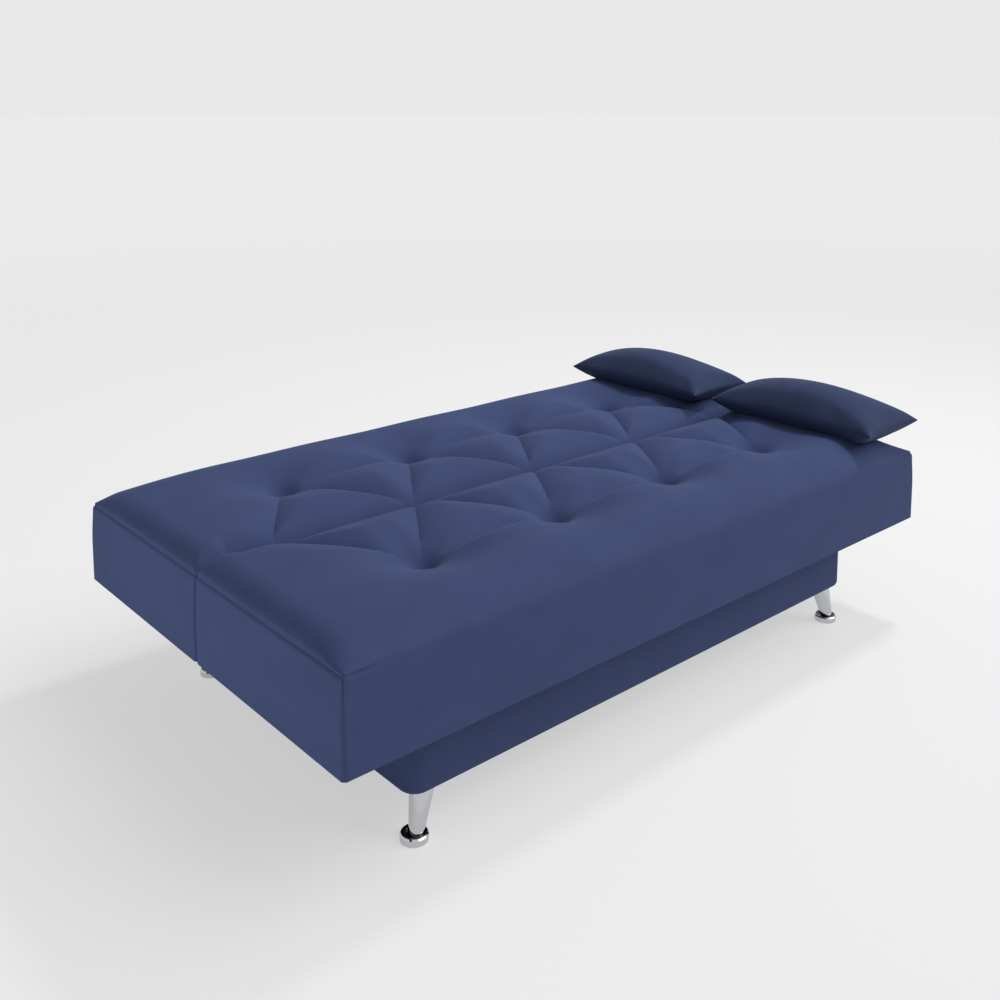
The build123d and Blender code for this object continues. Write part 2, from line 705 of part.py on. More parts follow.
def base_covers():
    """Upholstered skin of the plinth in four panels, wrapped under its rounded lower edge."""
    outer = plinth_block(0, BASE_BOTTOM, BASE_TOP, BASE_CORNER)
    lower_edge = outer.faces().sort_by(Axis.Z)[0].edges()
    shell = fillet(lower_edge, BASE_EDGE)
    shell -= plinth_block(BASE_COVER, BASE_FLOOR, BASE_TOP, BASE_CORNER - BASE_COVER)
    front = BASE_FRONT + BASE_FLANGE
    rear = BASE_REAR - BASE_FLANGE
    opening = BASE_LENGTH / 2 - BASE_FLANGE
    shell -= block(-opening, opening, front, rear, BASE_BOTTOM, BASE_FLOOR)
    bore = LEG_STUD_RADIUS + BOLT_CLEARANCE
    shell -= [upright_bolt(bore, BASE_COVER, x, y, BASE_BOTTOM) for x, y in leg_tops().values()]
    half = BASE_LENGTH / 2
    regions = {
        "front": (-half, half, BASE_FRONT, front),
        "rear": (-half, half, rear, BASE_REAR),
        "left": (-half, 0, front, rear),
        "right": (0, half, front, rear),
    }
    return {name: shell & block(*region, BASE_BOTTOM, BASE_TOP) for name, region in regions.items()}


def base_long_rails():
    """Front and rear rails of the plinth."""
    half = BASE_LENGTH / 2 - BASE_CORNER
    return Compound([
        block(-half, half, BASE_FRONT + BASE_COVER, BASE_RAIL_FRONT, BASE_FLOOR, BASE_TOP),
        block(-half, half, BASE_RAIL_REAR, BASE_REAR - BASE_COVER, BASE_FLOOR, BASE_TOP),
    ])


def base_end_rails():
    """Left and right rails of the plinth."""
    front = BASE_FRONT + BASE_CORNER
    rear = BASE_REAR - BASE_CORNER
    outer = BASE_RAIL_X + BASE_RAIL
    return Compound([
        block(-outer, -BASE_RAIL_X, front, rear, BASE_FLOOR, BASE_TOP),
        block(BASE_RAIL_X, outer, front, rear, BASE_FLOOR, BASE_TOP),
    ])


def base_corner_posts():
    """Posts that take the leg studs."""
    posts = []
    bore = LEG_STUD_RADIUS + BOLT_CLEARANCE
    for x, y in leg_tops().values():
        inner, outer = sorted((math.copysign(BASE_RAIL_X - BASE_POST, x), math.copysign(BASE_RAIL_X, x)))
        front = BASE_RAIL_FRONT if y < BASE_MIDDLE else BASE_RAIL_REAR - BASE_POST
        post = block(inner, outer, front, front + BASE_POST, BASE_FLOOR, BASE_TOP)
        posts.append(post - upright_bolt(bore, LEG_STUD_IN_POST, x, y, BASE_FLOOR))
    return Compound(posts)


def fixing_places():
    """Places of the bolts that hold the seat half on the plinth."""
    return [(x, y) for x in (-CROSS_X, CROSS_X) for y in FIXING_YS]


def fixing_bores(z_from, z_to):
    """Bores for the fixing bolts between two heights."""
    radius = BOLT_RADIUS + BOLT_CLEARANCE
    return [upright_bolt(radius, z_to - z_from, x, y, z_from) for x, y in fixing_places()]


def base_cross_rails():
    """Two rails across the plinth, under the cross rails of the halves."""
    half = CROSS_RAIL_WIDTH / 2
    bottom = BASE_TOP - BASE_CROSS_HEIGHT
    bores = fixing_bores(bottom, BASE_TOP)
    rails = []
    for x in (-CROSS_X, CROSS_X):
        rail = block(x - half, x + half, BASE_RAIL_FRONT, BASE_RAIL_REAR, bottom, BASE_TOP)
        rails.append(rail - bores)
    return Compound(rails)


def fixing_bolts():
    """Headed bolts, up through the plinth's cross rails into those of the seat half."""
    bottom = BASE_TOP - BASE_CROSS_HEIGHT
    length = RAIL_BOTTOM + FIXING_BITE - bottom
    bolts = []
    for x, y in fixing_places():
        head = upright_bolt(BOLT_HEAD_RADIUS, BOLT_HEAD, x, y, bottom - BOLT_HEAD)
        bolts.append(head + upright_bolt(BOLT_RADIUS, length, x, y, bottom))
    return Compound(bolts)


def base_dust_cloth():
    """Thin cloth that closes the plinth from below."""
    inset = BASE_FLANGE - BASE_CLOTH_LAP
    return plinth_block(inset, BASE_BOTTOM - DUST_CLOTH, BASE_BOTTOM, BASE_COVER)


def leg(name):
    """Leaning tapered leg from the plinth down into its foot cup, cut level at both ends."""
    foot = Vector(*leg_feet()[name], CUP_SEAT)
    top = Vector(*leg_tops()[name], BASE_BOTTOM)
    length = (top - foot).length
    growth = (LEG_TOP_RADIUS - LEG_FOOT_RADIUS) / length
    cone = Cone(
        LEG_FOOT_RADIUS - growth * LEG_SPARE,
        LEG_TOP_RADIUS + growth * LEG_SPARE,
        length + 2 * LEG_SPARE,
        align=(Align.CENTER, Align.CENTER, Align.MIN),
    )
    taper = Plane(foot, z_dir=top - foot).offset(-LEG_SPARE) * cone
    reach = 3 * LEG_TOP_RADIUS
    taper &= block(top.X - reach, top.X + reach, top.Y - reach, top.Y + reach, CUP_SEAT, BASE_BOTTOM)
    return taper - upright_bolt(LEG_STUD_RADIUS, LEG_STUD_IN_LEG, top.X, top.Y, BASE_BOTTOM - LEG_STUD_IN_LEG)


def leg_studs():
    """Threaded studs between legs and posts."""
    length = LEG_STUD_IN_LEG + BASE_COVER + LEG_STUD_IN_POST
    start = BASE_BOTTOM - LEG_STUD_IN_LEG
    return Compound([upright_bolt(LEG_STUD_RADIUS, length, x, y, start) for x, y in leg_tops().values()])


def ring_bore():
    """Bore of the foot ring, clear of the leaning leg up to the ring's top."""
    share = RING_HEIGHT / (BASE_BOTTOM - CUP_SEAT)
    splay = math.hypot(LEG_SPLAY_X, LEG_SPLAY_Y)
    lean = math.atan2(splay, BASE_BOTTOM - CUP_SEAT)
    radius = LEG_FOOT_RADIUS + share * (LEG_TOP_RADIUS - LEG_FOOT_RADIUS)
    return radius / math.cos(lean) + share * splay + RING_CLEARANCE


def foot_cups():
    """Dished cups that the legs stand in."""
    cups = []
    for x, y in leg_feet().values():
        cup = rod(CUP_RADIUS, CUP_HEIGHT, x, y, CUP_BOTTOM)
        cup = chamfer(cup.faces().sort_by(Axis.Z)[-1].edges(), CUP_BEVEL)
        cups.append(cup - rod(CUP_RADIUS - CUP_WALL, CUP_HEIGHT, x, y, CUP_SEAT))
    return Compound(cups)


def foot_rings():
    """Glossy rings round the legs, inside the cups."""
    rings = []
    for x, y in leg_feet().values():
        ring = rod(CUP_RADIUS - CUP_WALL - RING_CLEARANCE, RING_HEIGHT, x, y, CUP_SEAT)
        ring = chamfer(ring.faces().sort_by(Axis.Z)[-1].edges(), RING_BEVEL)
        rings.append(ring - rod(ring_bore(), RING_HEIGHT, x, y, CUP_SEAT))
    return Compound(rings)


def foot_pads():
    """Glide pads under the cups."""
    return Compound([rod(PAD_RADIUS, PAD_THICKNESS, x, y, 0) for x, y in leg_feet().values()])


def pillow_across():
    """Pillow section across: two swelling sides that meet at the seam."""
    half = PILLOW_WIDTH / 2 - PILLOW_DRAW - PILLOW_RIM
    return make_face([
        ThreePointArc((-half, 0), (0, PILLOW_RISE), (half, 0)),
        ThreePointArc((half, 0), (0, -PILLOW_SAG), (-half, 0)),
    ])


def pillow_along():
    """Pillow section along: level crown that falls off at both ends."""
    half = PILLOW_LENGTH / 2 - PILLOW_DRAW - PILLOW_RIM
    full = half - PILLOW_END_FALL_WIDTH
    return make_face([
        rise_arc((-half, 0), (-full, PILLOW_RISE)),
        Line((-full, PILLOW_RISE), (full, PILLOW_RISE)),
        rise_arc((full, PILLOW_RISE), (half, 0)),
        Polyline((half, 0), (full, -PILLOW_SAG), (-full, -PILLOW_SAG), (-half, 0)),
    ])


def pillow_outline():
    """Sewn edge in plan: all four sides drawn in between the corners' ears."""
    x = PILLOW_WIDTH / 2
    y = PILLOW_LENGTH / 2
    return make_face([
        ThreePointArc((-x, -y), (0, PILLOW_DRAW - y), (x, -y)),
        ThreePointArc((x, -y), (x - PILLOW_DRAW, 0), (x, y)),
        ThreePointArc((x, y), (0, y - PILLOW_DRAW), (-x, y)),
        ThreePointArc((-x, y), (PILLOW_DRAW - x, 0), (-x, -y)),
    ])


def pillow(inset, y):
    """Knife-edge pillow with drawn-in sides, flat underneath where it rests on the rolled end."""
    body = extrude(Plane.XZ * pillow_across(), PILLOW_LENGTH / 2, both=True)
    body &= extrude(Plane.YZ * pillow_along(), PILLOW_WIDTH / 2, both=True)
    body += extrude(pillow_outline(), PILLOW_EDGE, both=True)
    bed = extrude(Plane.XZ * lengthwise_section(), HALF_DEPTH, both=True)
    place = Pos(HALF_LENGTH - inset, y, CROWN_Z + PILLOW_SEAM_ABOVE_CROWN)
    return place * body - Pos(0, 0, PILLOW_CLEARANCE) * bed


def build():
    """All pieces by node name."""
    nodes = {"base_" + name + "_cover": panel for name, panel in base_covers().items()}
    nodes["base_long_rails"] = base_long_rails()
    nodes["base_end_rails"] = base_end_rails()
    nodes["base_cross_rails"] = base_cross_rails()
    nodes["base_corner_posts"] = base_corner_posts()
    nodes["base_dust_cloth"] = base_dust_cloth()
    for name in leg_tops():
        nodes["leg_" + name] = leg(name)
    nodes["leg_studs"] = leg_studs()
    nodes["foot_cups"] = foot_cups()
    nodes["foot_rings"] = foot_rings()
    nodes["foot_pads"] = foot_pads()
    nodes["seat_fixing_bolts"] = fixing_bolts()

    for name, shape in half_pieces().items():
        nodes["back_" + name] = shape
        nodes["seat_" + name.replace("outer", "front")] = mirror(shape, about=Plane.XZ)
    seat_bores = fixing_bores(UNDERSIDE, RAIL_BOTTOM + FIXING_BITE)
    nodes["back_cross_rails"] = Compound(cross_rails())
    nodes["seat_cross_rails"] = Compound(
        [mirror(rail, about=Plane.XZ) - seat_bores for rail in cross_rails()]
    )
    nodes["back_dust_cloth"] = dust_cloth()
    nodes["seat_dust_cloth"] = mirror(dust_cloth(), about=Plane.XZ) - seat_bores

    for name, side in (("left", -1), ("right", 1)):
        nodes["seat_hinge_arm_" + name] = seat_arm(side)
        nodes["back_hinge_arm_" + name] = back_arm(side)
        nodes["pawl_" + name] = pawl(side)
        nodes["pawl_spring_" + name] = pawl_spring(side)
    nodes["hinge_packers"] = Compound([packer(-1), packer(1)])
    nodes["hinge_pins"] = hinge_pins()
    nodes["back_hinge_bolts"] = arm_bolts(BACK_ARM_X)
    nodes["seat_hinge_bolts"] = mirror(arm_bolts(SEAT_ARM_X), about=Plane.XZ)

    nodes["seat_pillow"] = pillow(SEAT_PILLOW_INSET, -PILLOW_FROM_SPLIT)
    nodes["back_pillow"] = pillow(BACK_PILLOW_INSET, PILLOW_FROM_SPLIT)
    return nodes


os.makedirs("parts", exist_ok=True)
for node_name, node_shape in build().items():
    export_step(node_shape, "parts/" + node_name + ".step")
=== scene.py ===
import json
import math

import bpy
import numpy as np
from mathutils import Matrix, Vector


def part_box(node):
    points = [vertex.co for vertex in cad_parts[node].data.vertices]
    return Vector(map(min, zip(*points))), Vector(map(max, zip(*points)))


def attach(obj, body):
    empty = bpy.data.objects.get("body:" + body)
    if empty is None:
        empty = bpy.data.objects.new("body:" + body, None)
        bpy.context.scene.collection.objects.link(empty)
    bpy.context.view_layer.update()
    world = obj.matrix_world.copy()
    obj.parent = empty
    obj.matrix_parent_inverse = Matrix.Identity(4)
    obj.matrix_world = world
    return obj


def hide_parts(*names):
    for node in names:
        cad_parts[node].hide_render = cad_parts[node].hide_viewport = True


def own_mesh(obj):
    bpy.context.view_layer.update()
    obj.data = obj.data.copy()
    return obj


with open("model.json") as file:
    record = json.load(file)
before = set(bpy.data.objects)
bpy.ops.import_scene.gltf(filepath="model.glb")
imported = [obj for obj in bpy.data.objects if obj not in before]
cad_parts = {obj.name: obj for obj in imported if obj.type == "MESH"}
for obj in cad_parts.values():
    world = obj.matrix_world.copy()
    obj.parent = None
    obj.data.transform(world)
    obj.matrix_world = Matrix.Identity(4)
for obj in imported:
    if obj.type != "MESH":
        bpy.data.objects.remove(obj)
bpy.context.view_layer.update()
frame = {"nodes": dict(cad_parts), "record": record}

# Sizes of the two halves, from the frame, in metres
front_low, front_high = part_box("seat_front_border")
HALF_LENGTH = front_high[0]
HALF_DEPTH = -front_low[1]
UNDERSIDE_Z = front_low[2]
SEAM_Z = front_high[2]
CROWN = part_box("seat_top_pad")[1][2] - SEAM_Z
BULGE = 0.004
SPLIT_GAP = 0.0002
FRONT_FALL = 0.135
REAR_FALL = 0.105
PILLOW_END_FALL = 0.19
BARE_END_FALL = 0.055
BARE_END_SLOPE = 0.35
BARE_END_SHARE = 0.4
CORNER_RADIUS = 0.006
CORNER_SINK = 0.0015
BULGE_FULL_AT = 0.5

# Tufting: a row of dimples in each half, folds along the row and out to the split
TUFT_PITCH = 0.383
TUFT_ROW = 0.285
TUFT_COUNT = 4
TUFT_SPREAD = 0.115
TUFT_DEPTH = 0.042
KNOT_SPREAD = 0.034
KNOT_DEPTH = 0.030
FOLD_WIDTH = 0.105
FOLD_DEPTH_AT_TUFT = 0.038
FOLD_DEPTH_MIDWAY = 0.027
ROW_FOLD_DEPTH_MIDWAY = 0.037
FOLD_SOFTNESS = 1.9
FOLD_STEEPNESS = 0.88
FOLD_BLEND = 6.0
PUFF = 0.011
ROLL_PUFF = 0.012
ROLL_PUFF_FROM_ROW = 0.055
ROLL_PUFF_SPREAD = 0.042
BACK_ROLL_SHARE = 0.25

# The split between the halves: its valley, and where it rises to cover the hinge pins
VALLEY_Z = SEAM_Z - 0.013
VALLEY_RISE = 0.012
VALLEY_WIDTH_PER_DEPTH = 1.5
SPLIT_DIP = 0.040
SPLIT_DIP_WIDTH = 0.15
SPLIT_DIP_POWER = 1.5
SPLIT_DIP_FADE = (0.70, 0.86)
PIN_COVER_Z = SEAM_Z + 0.003
PIN_COVER_FROM = 0.86
PIN_COVER_FULL = 0.89
PIN_COVER_END = 0.022
PIN_COVER_ALLOWANCE = 0.05
SHALLOWEST_SPLIT = 0.001
PIVOT_Z = sum(corner[2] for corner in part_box("hinge_pins")) / 2
FOLD_CLEAR_SLOPE = 1.42
FOLD_CLEAR_SOFTNESS = 0.009
FOLD_CLEAR_MARGIN = 0.0045

# Where the hinge arms pass through the inner walls of the covers
ARM_FROM_PIN_END = 0.012
ARM_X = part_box("hinge_pins")[1][0] - ARM_FROM_PIN_END
POCKET_HALF_WIDTH = 0.022
POCKET_TOP = SEAM_Z + 0.001
POCKET_BOTTOM = SEAM_Z - 0.073

# Rounding of the boxing: by the split, and over the front edge
SPLIT_ROUND = 0.009
SPLIT_ROUND_REACH = 0.0205
FRONT_ROLL_REACH = 0.035
FRONT_ROLL_STEPS = ((0.08, 4), (0.15, 8), (0.22, 12), (0.30, 16))

# Pillows: two flat squares of cloth sewn edge to edge and filled
PILLOW_PITCH = 0.0075
PILLOW_PULL = 0.05
PILLOW_SIDE_FULLNESS = 0.8
PILLOW_END_FULLNESS = 0.75
PILLOW_SPARE = 0.006
PILLOW_SETTLE = 0.014
PILLOW_START_SHARE = 0.8
PILLOW_START_GAP = 0.001
PILLOW_CLOTH_QUALITY = 6
PILLOW_PRESSURE = 4.0
PILLOW_CAP = 0.012
PILLOW_FRAMES = 20
PILLOW_RELAX = 8
PILLOW_REST_GAP = 0.0015
BACK_PILLOW_TRAVEL = 0.08
TRAVEL_STEPS = 9

# Twine that pulls the dimples down, with a washer under the foam, and the coil springs of the pawls
TWINE_STRAND = 0.0009
TWINE_LAY = 0.008
WASHER_THICKNESS = 0.002
WASHER_EDGE = 0.0005
WASHER_EDGE_STEPS = 2
WASHER_SIDES = 32
WASHER_RIM_SHARE = 0.9
SPRING_WIRE = 0.00045
SPRING_LAY = 0.002
COIL_SIDES = 8
COIL_STEPS = 16

# Base box and legs
BASE_CORNER_RADIUS = 0.040
BASE_CORNER_STEPS = 10
BASE_BOTTOM_RADIUS = 0.014
BASE_BOTTOM_STEPS = 8
BASE_FLANGE = 0.110
LEG_TOP_RADIUS = 0.026
LEG_FOOT_RADIUS = 0.015
LEG_SIDES = 64
LEG_EDGE = 0.0012
LEG_EDGE_STEPS = 3

# Cover mesh: even squares, closer rows by the seams
COVER_PITCH = 0.007
SEAM_ROWS = (0.0, 0.0025, 0.005, 0.009, 0.014, 0.0205)
SIDE_ROWS = (
    0.0025, 0.005, 0.009, 0.015, 0.03, 0.05, 0.075, 0.1, 0.125, 0.148, 0.165, 0.175, 0.18, 0.183,
)
SEAM_SINK = 0.004
SEAM_REACH = 0.004
SEAM_SINK_FROM_SPLIT = 0.02
COVER_THICKNESS = 0.003
FOLD_STRIP = 0.016
MERGE_DISTANCE = 0.0018
SMOOTH_FACTOR = 0.5
SMOOTH_ANGLE = math.radians(50)

# How near counts as level, as at a face, and as upright
LEVEL = 1e-6
AT_FACE = 0.001
UPRIGHT_RISE = 0.01
TINY = 1e-9


# Colour and node helpers

def linear(code):
    """An sRGB hex colour as linear red, green, blue and alpha."""
    channels = [int(code[place:place + 2], 16) / 255 for place in (1, 3, 5)]
    return [c / 12.92 if c <= 0.04045 else ((c + 0.055) / 1.055) ** 2.4 for c in channels] + [1.0]


def add_node(tree, kind, values=None, links=None, **settings):
    """Adds one node, with its settings, its socket values and its links."""
    made = tree.nodes.new(kind)
    for name, value in settings.items():
        setattr(made, name, value)
    for socket, value in (values or {}).items():
        made.inputs[socket].default_value = value
    for socket, source in (links or {}).items():
        tree.links.new(source, made.inputs[socket])
    return made


def new_material(name):
    """An empty material with its tree, its output node and its Object coordinates."""
    material = bpy.data.materials.new(name)
    material.use_nodes = True
    tree = material.node_tree
    tree.nodes.clear()
    output = add_node(tree, "ShaderNodeOutputMaterial")
    place = add_node(tree, "ShaderNodeTexCoord").outputs["Object"]
    return material, tree, output, place


def close_material(tree, output, shader):
    """Links a shader to the output."""
    tree.links.new(shader.outputs[0], output.inputs["Surface"])


def blend_colours(tree, share, low, high, low_at=0.35, high_at=0.65):
    """A two-colour ramp over a pattern."""
    ramp = add_node(tree, "ShaderNodeValToRGB", links={"Fac": share})
    ramp.color_ramp.elements[0].position = low_at
    ramp.color_ramp.elements[0].color = linear(low)
    ramp.color_ramp.elements[1].position = high_at
    ramp.color_ramp.elements[1].color = linear(high)
    return ramp.outputs["Color"]


# Materials

def navy_suede(name, shade, tint):
    """Brushed polyester suede: a short nap in soft patches, with a pale bloom at grazing angles."""
    material, tree, output, place = new_material(name)
    patches = add_node(tree, "ShaderNodeTexNoise", {"Scale": 1 / 0.09, "Detail": 3.0, "Roughness": 0.5},
                       {"Vector": place})
    colour = blend_colours(tree, patches.outputs["Fac"], shade, tint)
    fibres = add_node(tree, "ShaderNodeTexNoise", {"Scale": 1 / 0.0022, "Detail": 2.0, "Roughness": 0.6},
                      {"Vector": place})
    nap = add_node(tree, "ShaderNodeBump", {"Strength": 0.12, "Distance": 0.0004},
                   {"Height": fibres.outputs["Fac"]})
    shader = add_node(
        tree, "ShaderNodeBsdfPrincipled",
        {"Roughness": 0.86, "Specular IOR Level": 0.22, "Sheen Weight": 0.1, "Sheen Roughness": 0.4,
         "Sheen Tint": linear("#8f9fcb")},
        {"Base Color": colour, "Normal": nap.outputs["Normal"]},
    )
    close_material(tree, output, shader)
    return material


def chrome_plate():
    """Bright chrome over polished steel: a clear mirror with faint polishing marks."""
    material, tree, output, place = new_material("chrome_plate")
    marks = add_node(tree, "ShaderNodeTexNoise", {"Scale": 1 / 0.012, "Detail": 3.0}, {"Vector": place})
    gloss = add_node(tree, "ShaderNodeMapRange", {"To Min": 0.04, "To Max": 0.1},
                     {"Value": marks.outputs["Fac"]})
    shader = add_node(
        tree, "ShaderNodeBsdfPrincipled",
        {"Base Color": linear("#c8c9cc"), "Metallic": 1.0},
        {"Roughness": gloss.outputs["Result"]},
    )
    close_material(tree, output, shader)
    return material


def black_gloss():
    """Moulded ABS, black and glossy, with a slight orange-peel skin."""
    material, tree, output, place = new_material("black_gloss")
    skin = add_node(tree, "ShaderNodeTexNoise", {"Scale": 1 / 0.003, "Detail": 2.0}, {"Vector": place})
    peel = add_node(tree, "ShaderNodeBump", {"Strength": 0.05, "Distance": 0.0002},
                    {"Height": skin.outputs["Fac"]})
    shader = add_node(
        tree, "ShaderNodeBsdfPrincipled",
        {"Base Color": linear("#141416"), "Roughness": 0.18, "IOR": 1.54},
        {"Normal": peel.outputs["Normal"]},
    )
    close_material(tree, output, shader)
    return material


def zinc_steel():
    """Zinc-plated pressed steel: grey, satin, with a cloudy spangle."""
    material, tree, output, place = new_material("zinc_steel")
    spangle = add_node(tree, "ShaderNodeTexVoronoi", {"Scale": 1 / 0.008}, {"Vector": place})
    colour = blend_colours(tree, spangle.outputs["Distance"], "#a9acb0", "#c3c5c8")
    cloud = add_node(tree, "ShaderNodeTexNoise", {"Scale": 1 / 0.01, "Detail": 4.0}, {"Vector": place})
    satin = add_node(tree, "ShaderNodeMapRange", {"To Min": 0.3, "To Max": 0.5},
                     {"Value": cloud.outputs["Fac"]})
    shader = add_node(
        tree, "ShaderNodeBsdfPrincipled",
        {"Metallic": 1.0},
        {"Base Color": colour, "Roughness": satin.outputs["Result"]},
    )
    close_material(tree, output, shader)
    return material


def wood(name, dark, light, ring):
    """Unfinished softwood: long grain along X with soft growth bands, dull and slightly rough."""
    material, tree, output, place = new_material(name)
    stretched = add_node(tree, "ShaderNodeMapping", {"Scale": (0.06, 1.0, 1.0)}, {"Vector": place})
    grain = add_node(tree, "ShaderNodeTexNoise", {"Scale": 1 / ring, "Detail": 6.0, "Distortion": 0.4},
                     {"Vector": stretched.outputs["Vector"]})
    colour = blend_colours(tree, grain.outputs["Fac"], dark, light, 0.3, 0.7)
    fibre = add_node(tree, "ShaderNodeBump", {"Strength": 0.25, "Distance": 0.0005},
                     {"Height": grain.outputs["Fac"]})
    shader = add_node(
        tree, "ShaderNodeBsdfPrincipled",
        {"Roughness": 0.65, "Specular IOR Level": 0.35},
        {"Base Color": colour, "Normal": fibre.outputs["Normal"]},
    )
    close_material(tree, output, shader)
    return material


def matt(name, dark, light, grit, roughness, bump):
    """A dull fibrous or cellular finish: two close shades broken up at the size of its grit."""
    material, tree, output, place = new_material(name)
    cells = add_node(tree, "ShaderNodeTexVoronoi", {"Scale": 1 / grit}, {"Vector": place})
    colour = blend_colours(tree, cells.outputs["Distance"], dark, light, 0.2, 0.8)
    relief = add_node(tree, "ShaderNodeBump", {"Strength": bump, "Distance": grit / 4},
                      {"Height": cells.outputs["Distance"]})
    shader = add_node(
        tree, "ShaderNodeBsdfPrincipled",
        {"Roughness": roughness, "Specular IOR Level": 0.25},
        {"Base Color": colour, "Normal": relief.outputs["Normal"]},
    )
    close_material(tree, output, shader)
    return material


FINISHES = {
    "navy_suede": navy_suede("navy_suede", "#3f4b72", "#414e76"),
    "chrome_plate": chrome_plate(),
    "black_gloss": black_gloss(),
    "zinc_steel": zinc_steel(),
    "pine": wood("pine", "#b98f5c", "#dcb987", 0.012),
    "plywood": wood("plywood", "#a98353", "#cda878", 0.02),
    "foam": matt("foam", "#d9c987", "#eadfae", 0.0025, 0.95, 0.4),
    "webbing": matt("webbing", "#1c1c1e", "#33343a", 0.004, 0.8, 0.5),
    "black_cloth": matt("black_cloth", "#131315", "#232327", 0.003, 0.9, 0.3),
    "twine": matt("twine", "#a89c7c", "#cfc4a6", 0.0015, 0.85, 0.5),
    "glide_felt": matt("glide_felt", "#1d1d1f", "#2f2f33", 0.002, 0.95, 0.5),
}
# A darker copy of the navy suede for the pillows, which are the same cloth as the bed: painted shade over
# the whole of each pillow.
PILLOW_SUEDE_PAINTED_SHADE = navy_suede("navy_suede_pillow_painted_shade", "#353f5e", "#384364")


def finish_frame_nodes():
    """Gives every node of the frame the finish of its slot."""
    for part in frame["record"]["subparts"]:
        for slot in frame["nodes"][part["node"]].material_slots:
            slot.material = FINISHES[part["material_slot"]]


# Modelling helpers

def start_piece(name):
    """Names the object that was just added."""
    piece = bpy.context.object
    piece.name = name
    piece.data.name = name
    return piece


def clear_selection():
    """Leaves nothing selected."""
    if bpy.context.object and bpy.context.object.mode != "OBJECT":
        bpy.ops.object.mode_set(mode="OBJECT")
    bpy.ops.object.select_all(action="DESELECT")


def points_of(piece):
    """Vertex places as rows of x, y, z."""
    places = np.empty(len(piece.data.vertices) * 3)
    piece.data.vertices.foreach_get("co", places)
    return places.reshape(-1, 3)


def move_points(piece, places):
    """Writes vertex places back."""
    piece.data.vertices.foreach_set("co", places.ravel())
    piece.data.update()


def select_faces(piece, chosen):
    """Selects faces by a yes-or-no array, in object mode."""
    mesh = piece.data
    mesh.vertices.foreach_set("select", np.zeros(len(mesh.vertices), dtype=bool))
    mesh.edges.foreach_set("select", np.zeros(len(mesh.edges), dtype=bool))
    mesh.polygons.foreach_set("select", chosen)


def select_points(piece, chosen):
    """Selects vertices by a yes-or-no array, in object mode."""
    mesh = piece.data
    mesh.polygons.foreach_set("select", np.zeros(len(mesh.polygons), dtype=bool))
    mesh.edges.foreach_set("select", np.zeros(len(mesh.edges), dtype=bool))
    mesh.vertices.foreach_set("select", chosen)


def select_edges(piece, chosen):
    """Selects edges by a yes-or-no test of their two end places, in object mode."""
    places = points_of(piece)
    mesh = piece.data
    mesh.polygons.foreach_set("select", np.zeros(len(mesh.polygons), dtype=bool))
    mesh.vertices.foreach_set("select", np.zeros(len(mesh.vertices), dtype=bool))
    for edge in mesh.edges:
        start, end = (places[index] for index in edge.vertices)
        edge.select = bool(chosen(start, end))


def is_level(start, end):
    """True for an edge whose ends are equally high."""
    return abs(start[2] - end[2]) < LEVEL


def edit(kind, operator, **settings):
    """Runs one edit-mode operator on the selected vertices, edges or faces of the active piece."""
    bpy.ops.object.mode_set(mode="EDIT")
    bpy.ops.mesh.select_mode(type=kind)
    operator(**settings)
    bpy.ops.object.mode_set(mode="OBJECT")


def edit_all(operator, **settings):
    """Runs one edit-mode operator on the whole of the active piece."""
    bpy.ops.object.mode_set(mode="EDIT")
    bpy.ops.mesh.select_all(action="SELECT")
    operator(**settings)
    bpy.ops.object.mode_set(mode="OBJECT")


def face_out():
    """Turns all faces of the active piece outwards."""
    edit_all(bpy.ops.mesh.normals_make_consistent, inside=False)


def give_thickness(piece, thickness):
    """Turns a skin into a wall, inwards."""
    wall = piece.modifiers.new("wall", "SOLIDIFY")
    wall.thickness = thickness
    wall.offset = -1
    apply_modifiers(piece)


def face_centres(piece):
    """Face centres as rows of x, y, z."""
    centres = np.empty(len(piece.data.polygons) * 3)
    piece.data.polygons.foreach_get("center", centres)
    return centres.reshape(-1, 3)


def apply_modifiers(piece):
    """Applies all modifiers of one piece."""
    bpy.context.view_layer.objects.active = piece
    for modifier in list(piece.modifiers):
        bpy.ops.object.modifier_apply(modifier=modifier.name)


def dress(piece, body, slot, *nodes):
    """Gives a finished piece its finish, its body and the nodes that it stands for."""
    clear_selection()
    piece.data.materials.clear()
    piece.data.materials.append(FINISHES[slot])
    piece.select_set(True)
    bpy.context.view_layer.objects.active = piece
    bpy.ops.object.shade_smooth_by_angle(angle=SMOOTH_ANGLE)
    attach(piece, body)
    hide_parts(*nodes)


# Tufted covers of the two halves

def tuft_places():
    """Dimples of one half, along the bed and out from the split."""
    return [((index - (TUFT_COUNT - 1) / 2) * TUFT_PITCH, TUFT_ROW) for index in range(TUFT_COUNT)]


def fold_lines():
    """Sewn folds: along the row of dimples, and from each dimple to the split on both sides."""
    tufts = tuft_places()
    lines = [(tufts[index], tufts[index + 1]) for index in range(TUFT_COUNT - 1)]
    for x, depth in tufts:
        for side in (-1, 1):
            lines.append(((x, depth), (x + side * TUFT_PITCH / 2, 0.0)))
    return lines


def from_line(points, line):
    """Distance of plan points from a fold, and their share of the way along it."""
    start = np.array(line[0])
    run = np.array(line[1]) - start
    share = np.clip((points - start) @ run / (run @ run), 0, 1)
    return np.linalg.norm(points - start - share[:, None] * run, axis=1), share


def swelling(distance, width):
    """Share of a fold's depth at a distance from it: sheer at the stitches, level at the full width."""
    run = np.clip(1 - distance / width, 0, 1)
    return 1 - (1 - run ** FOLD_SOFTNESS) ** FOLD_STEEPNESS


def rolled(distance, width):
    """Share of the crown that is lost at a distance from a rolled edge."""
    run = np.clip(width - distance, 0, width)
    radius = (width ** 2 + CROWN ** 2) / (2 * CROWN)
    return (radius - np.sqrt(radius ** 2 - run ** 2)) / CROWN


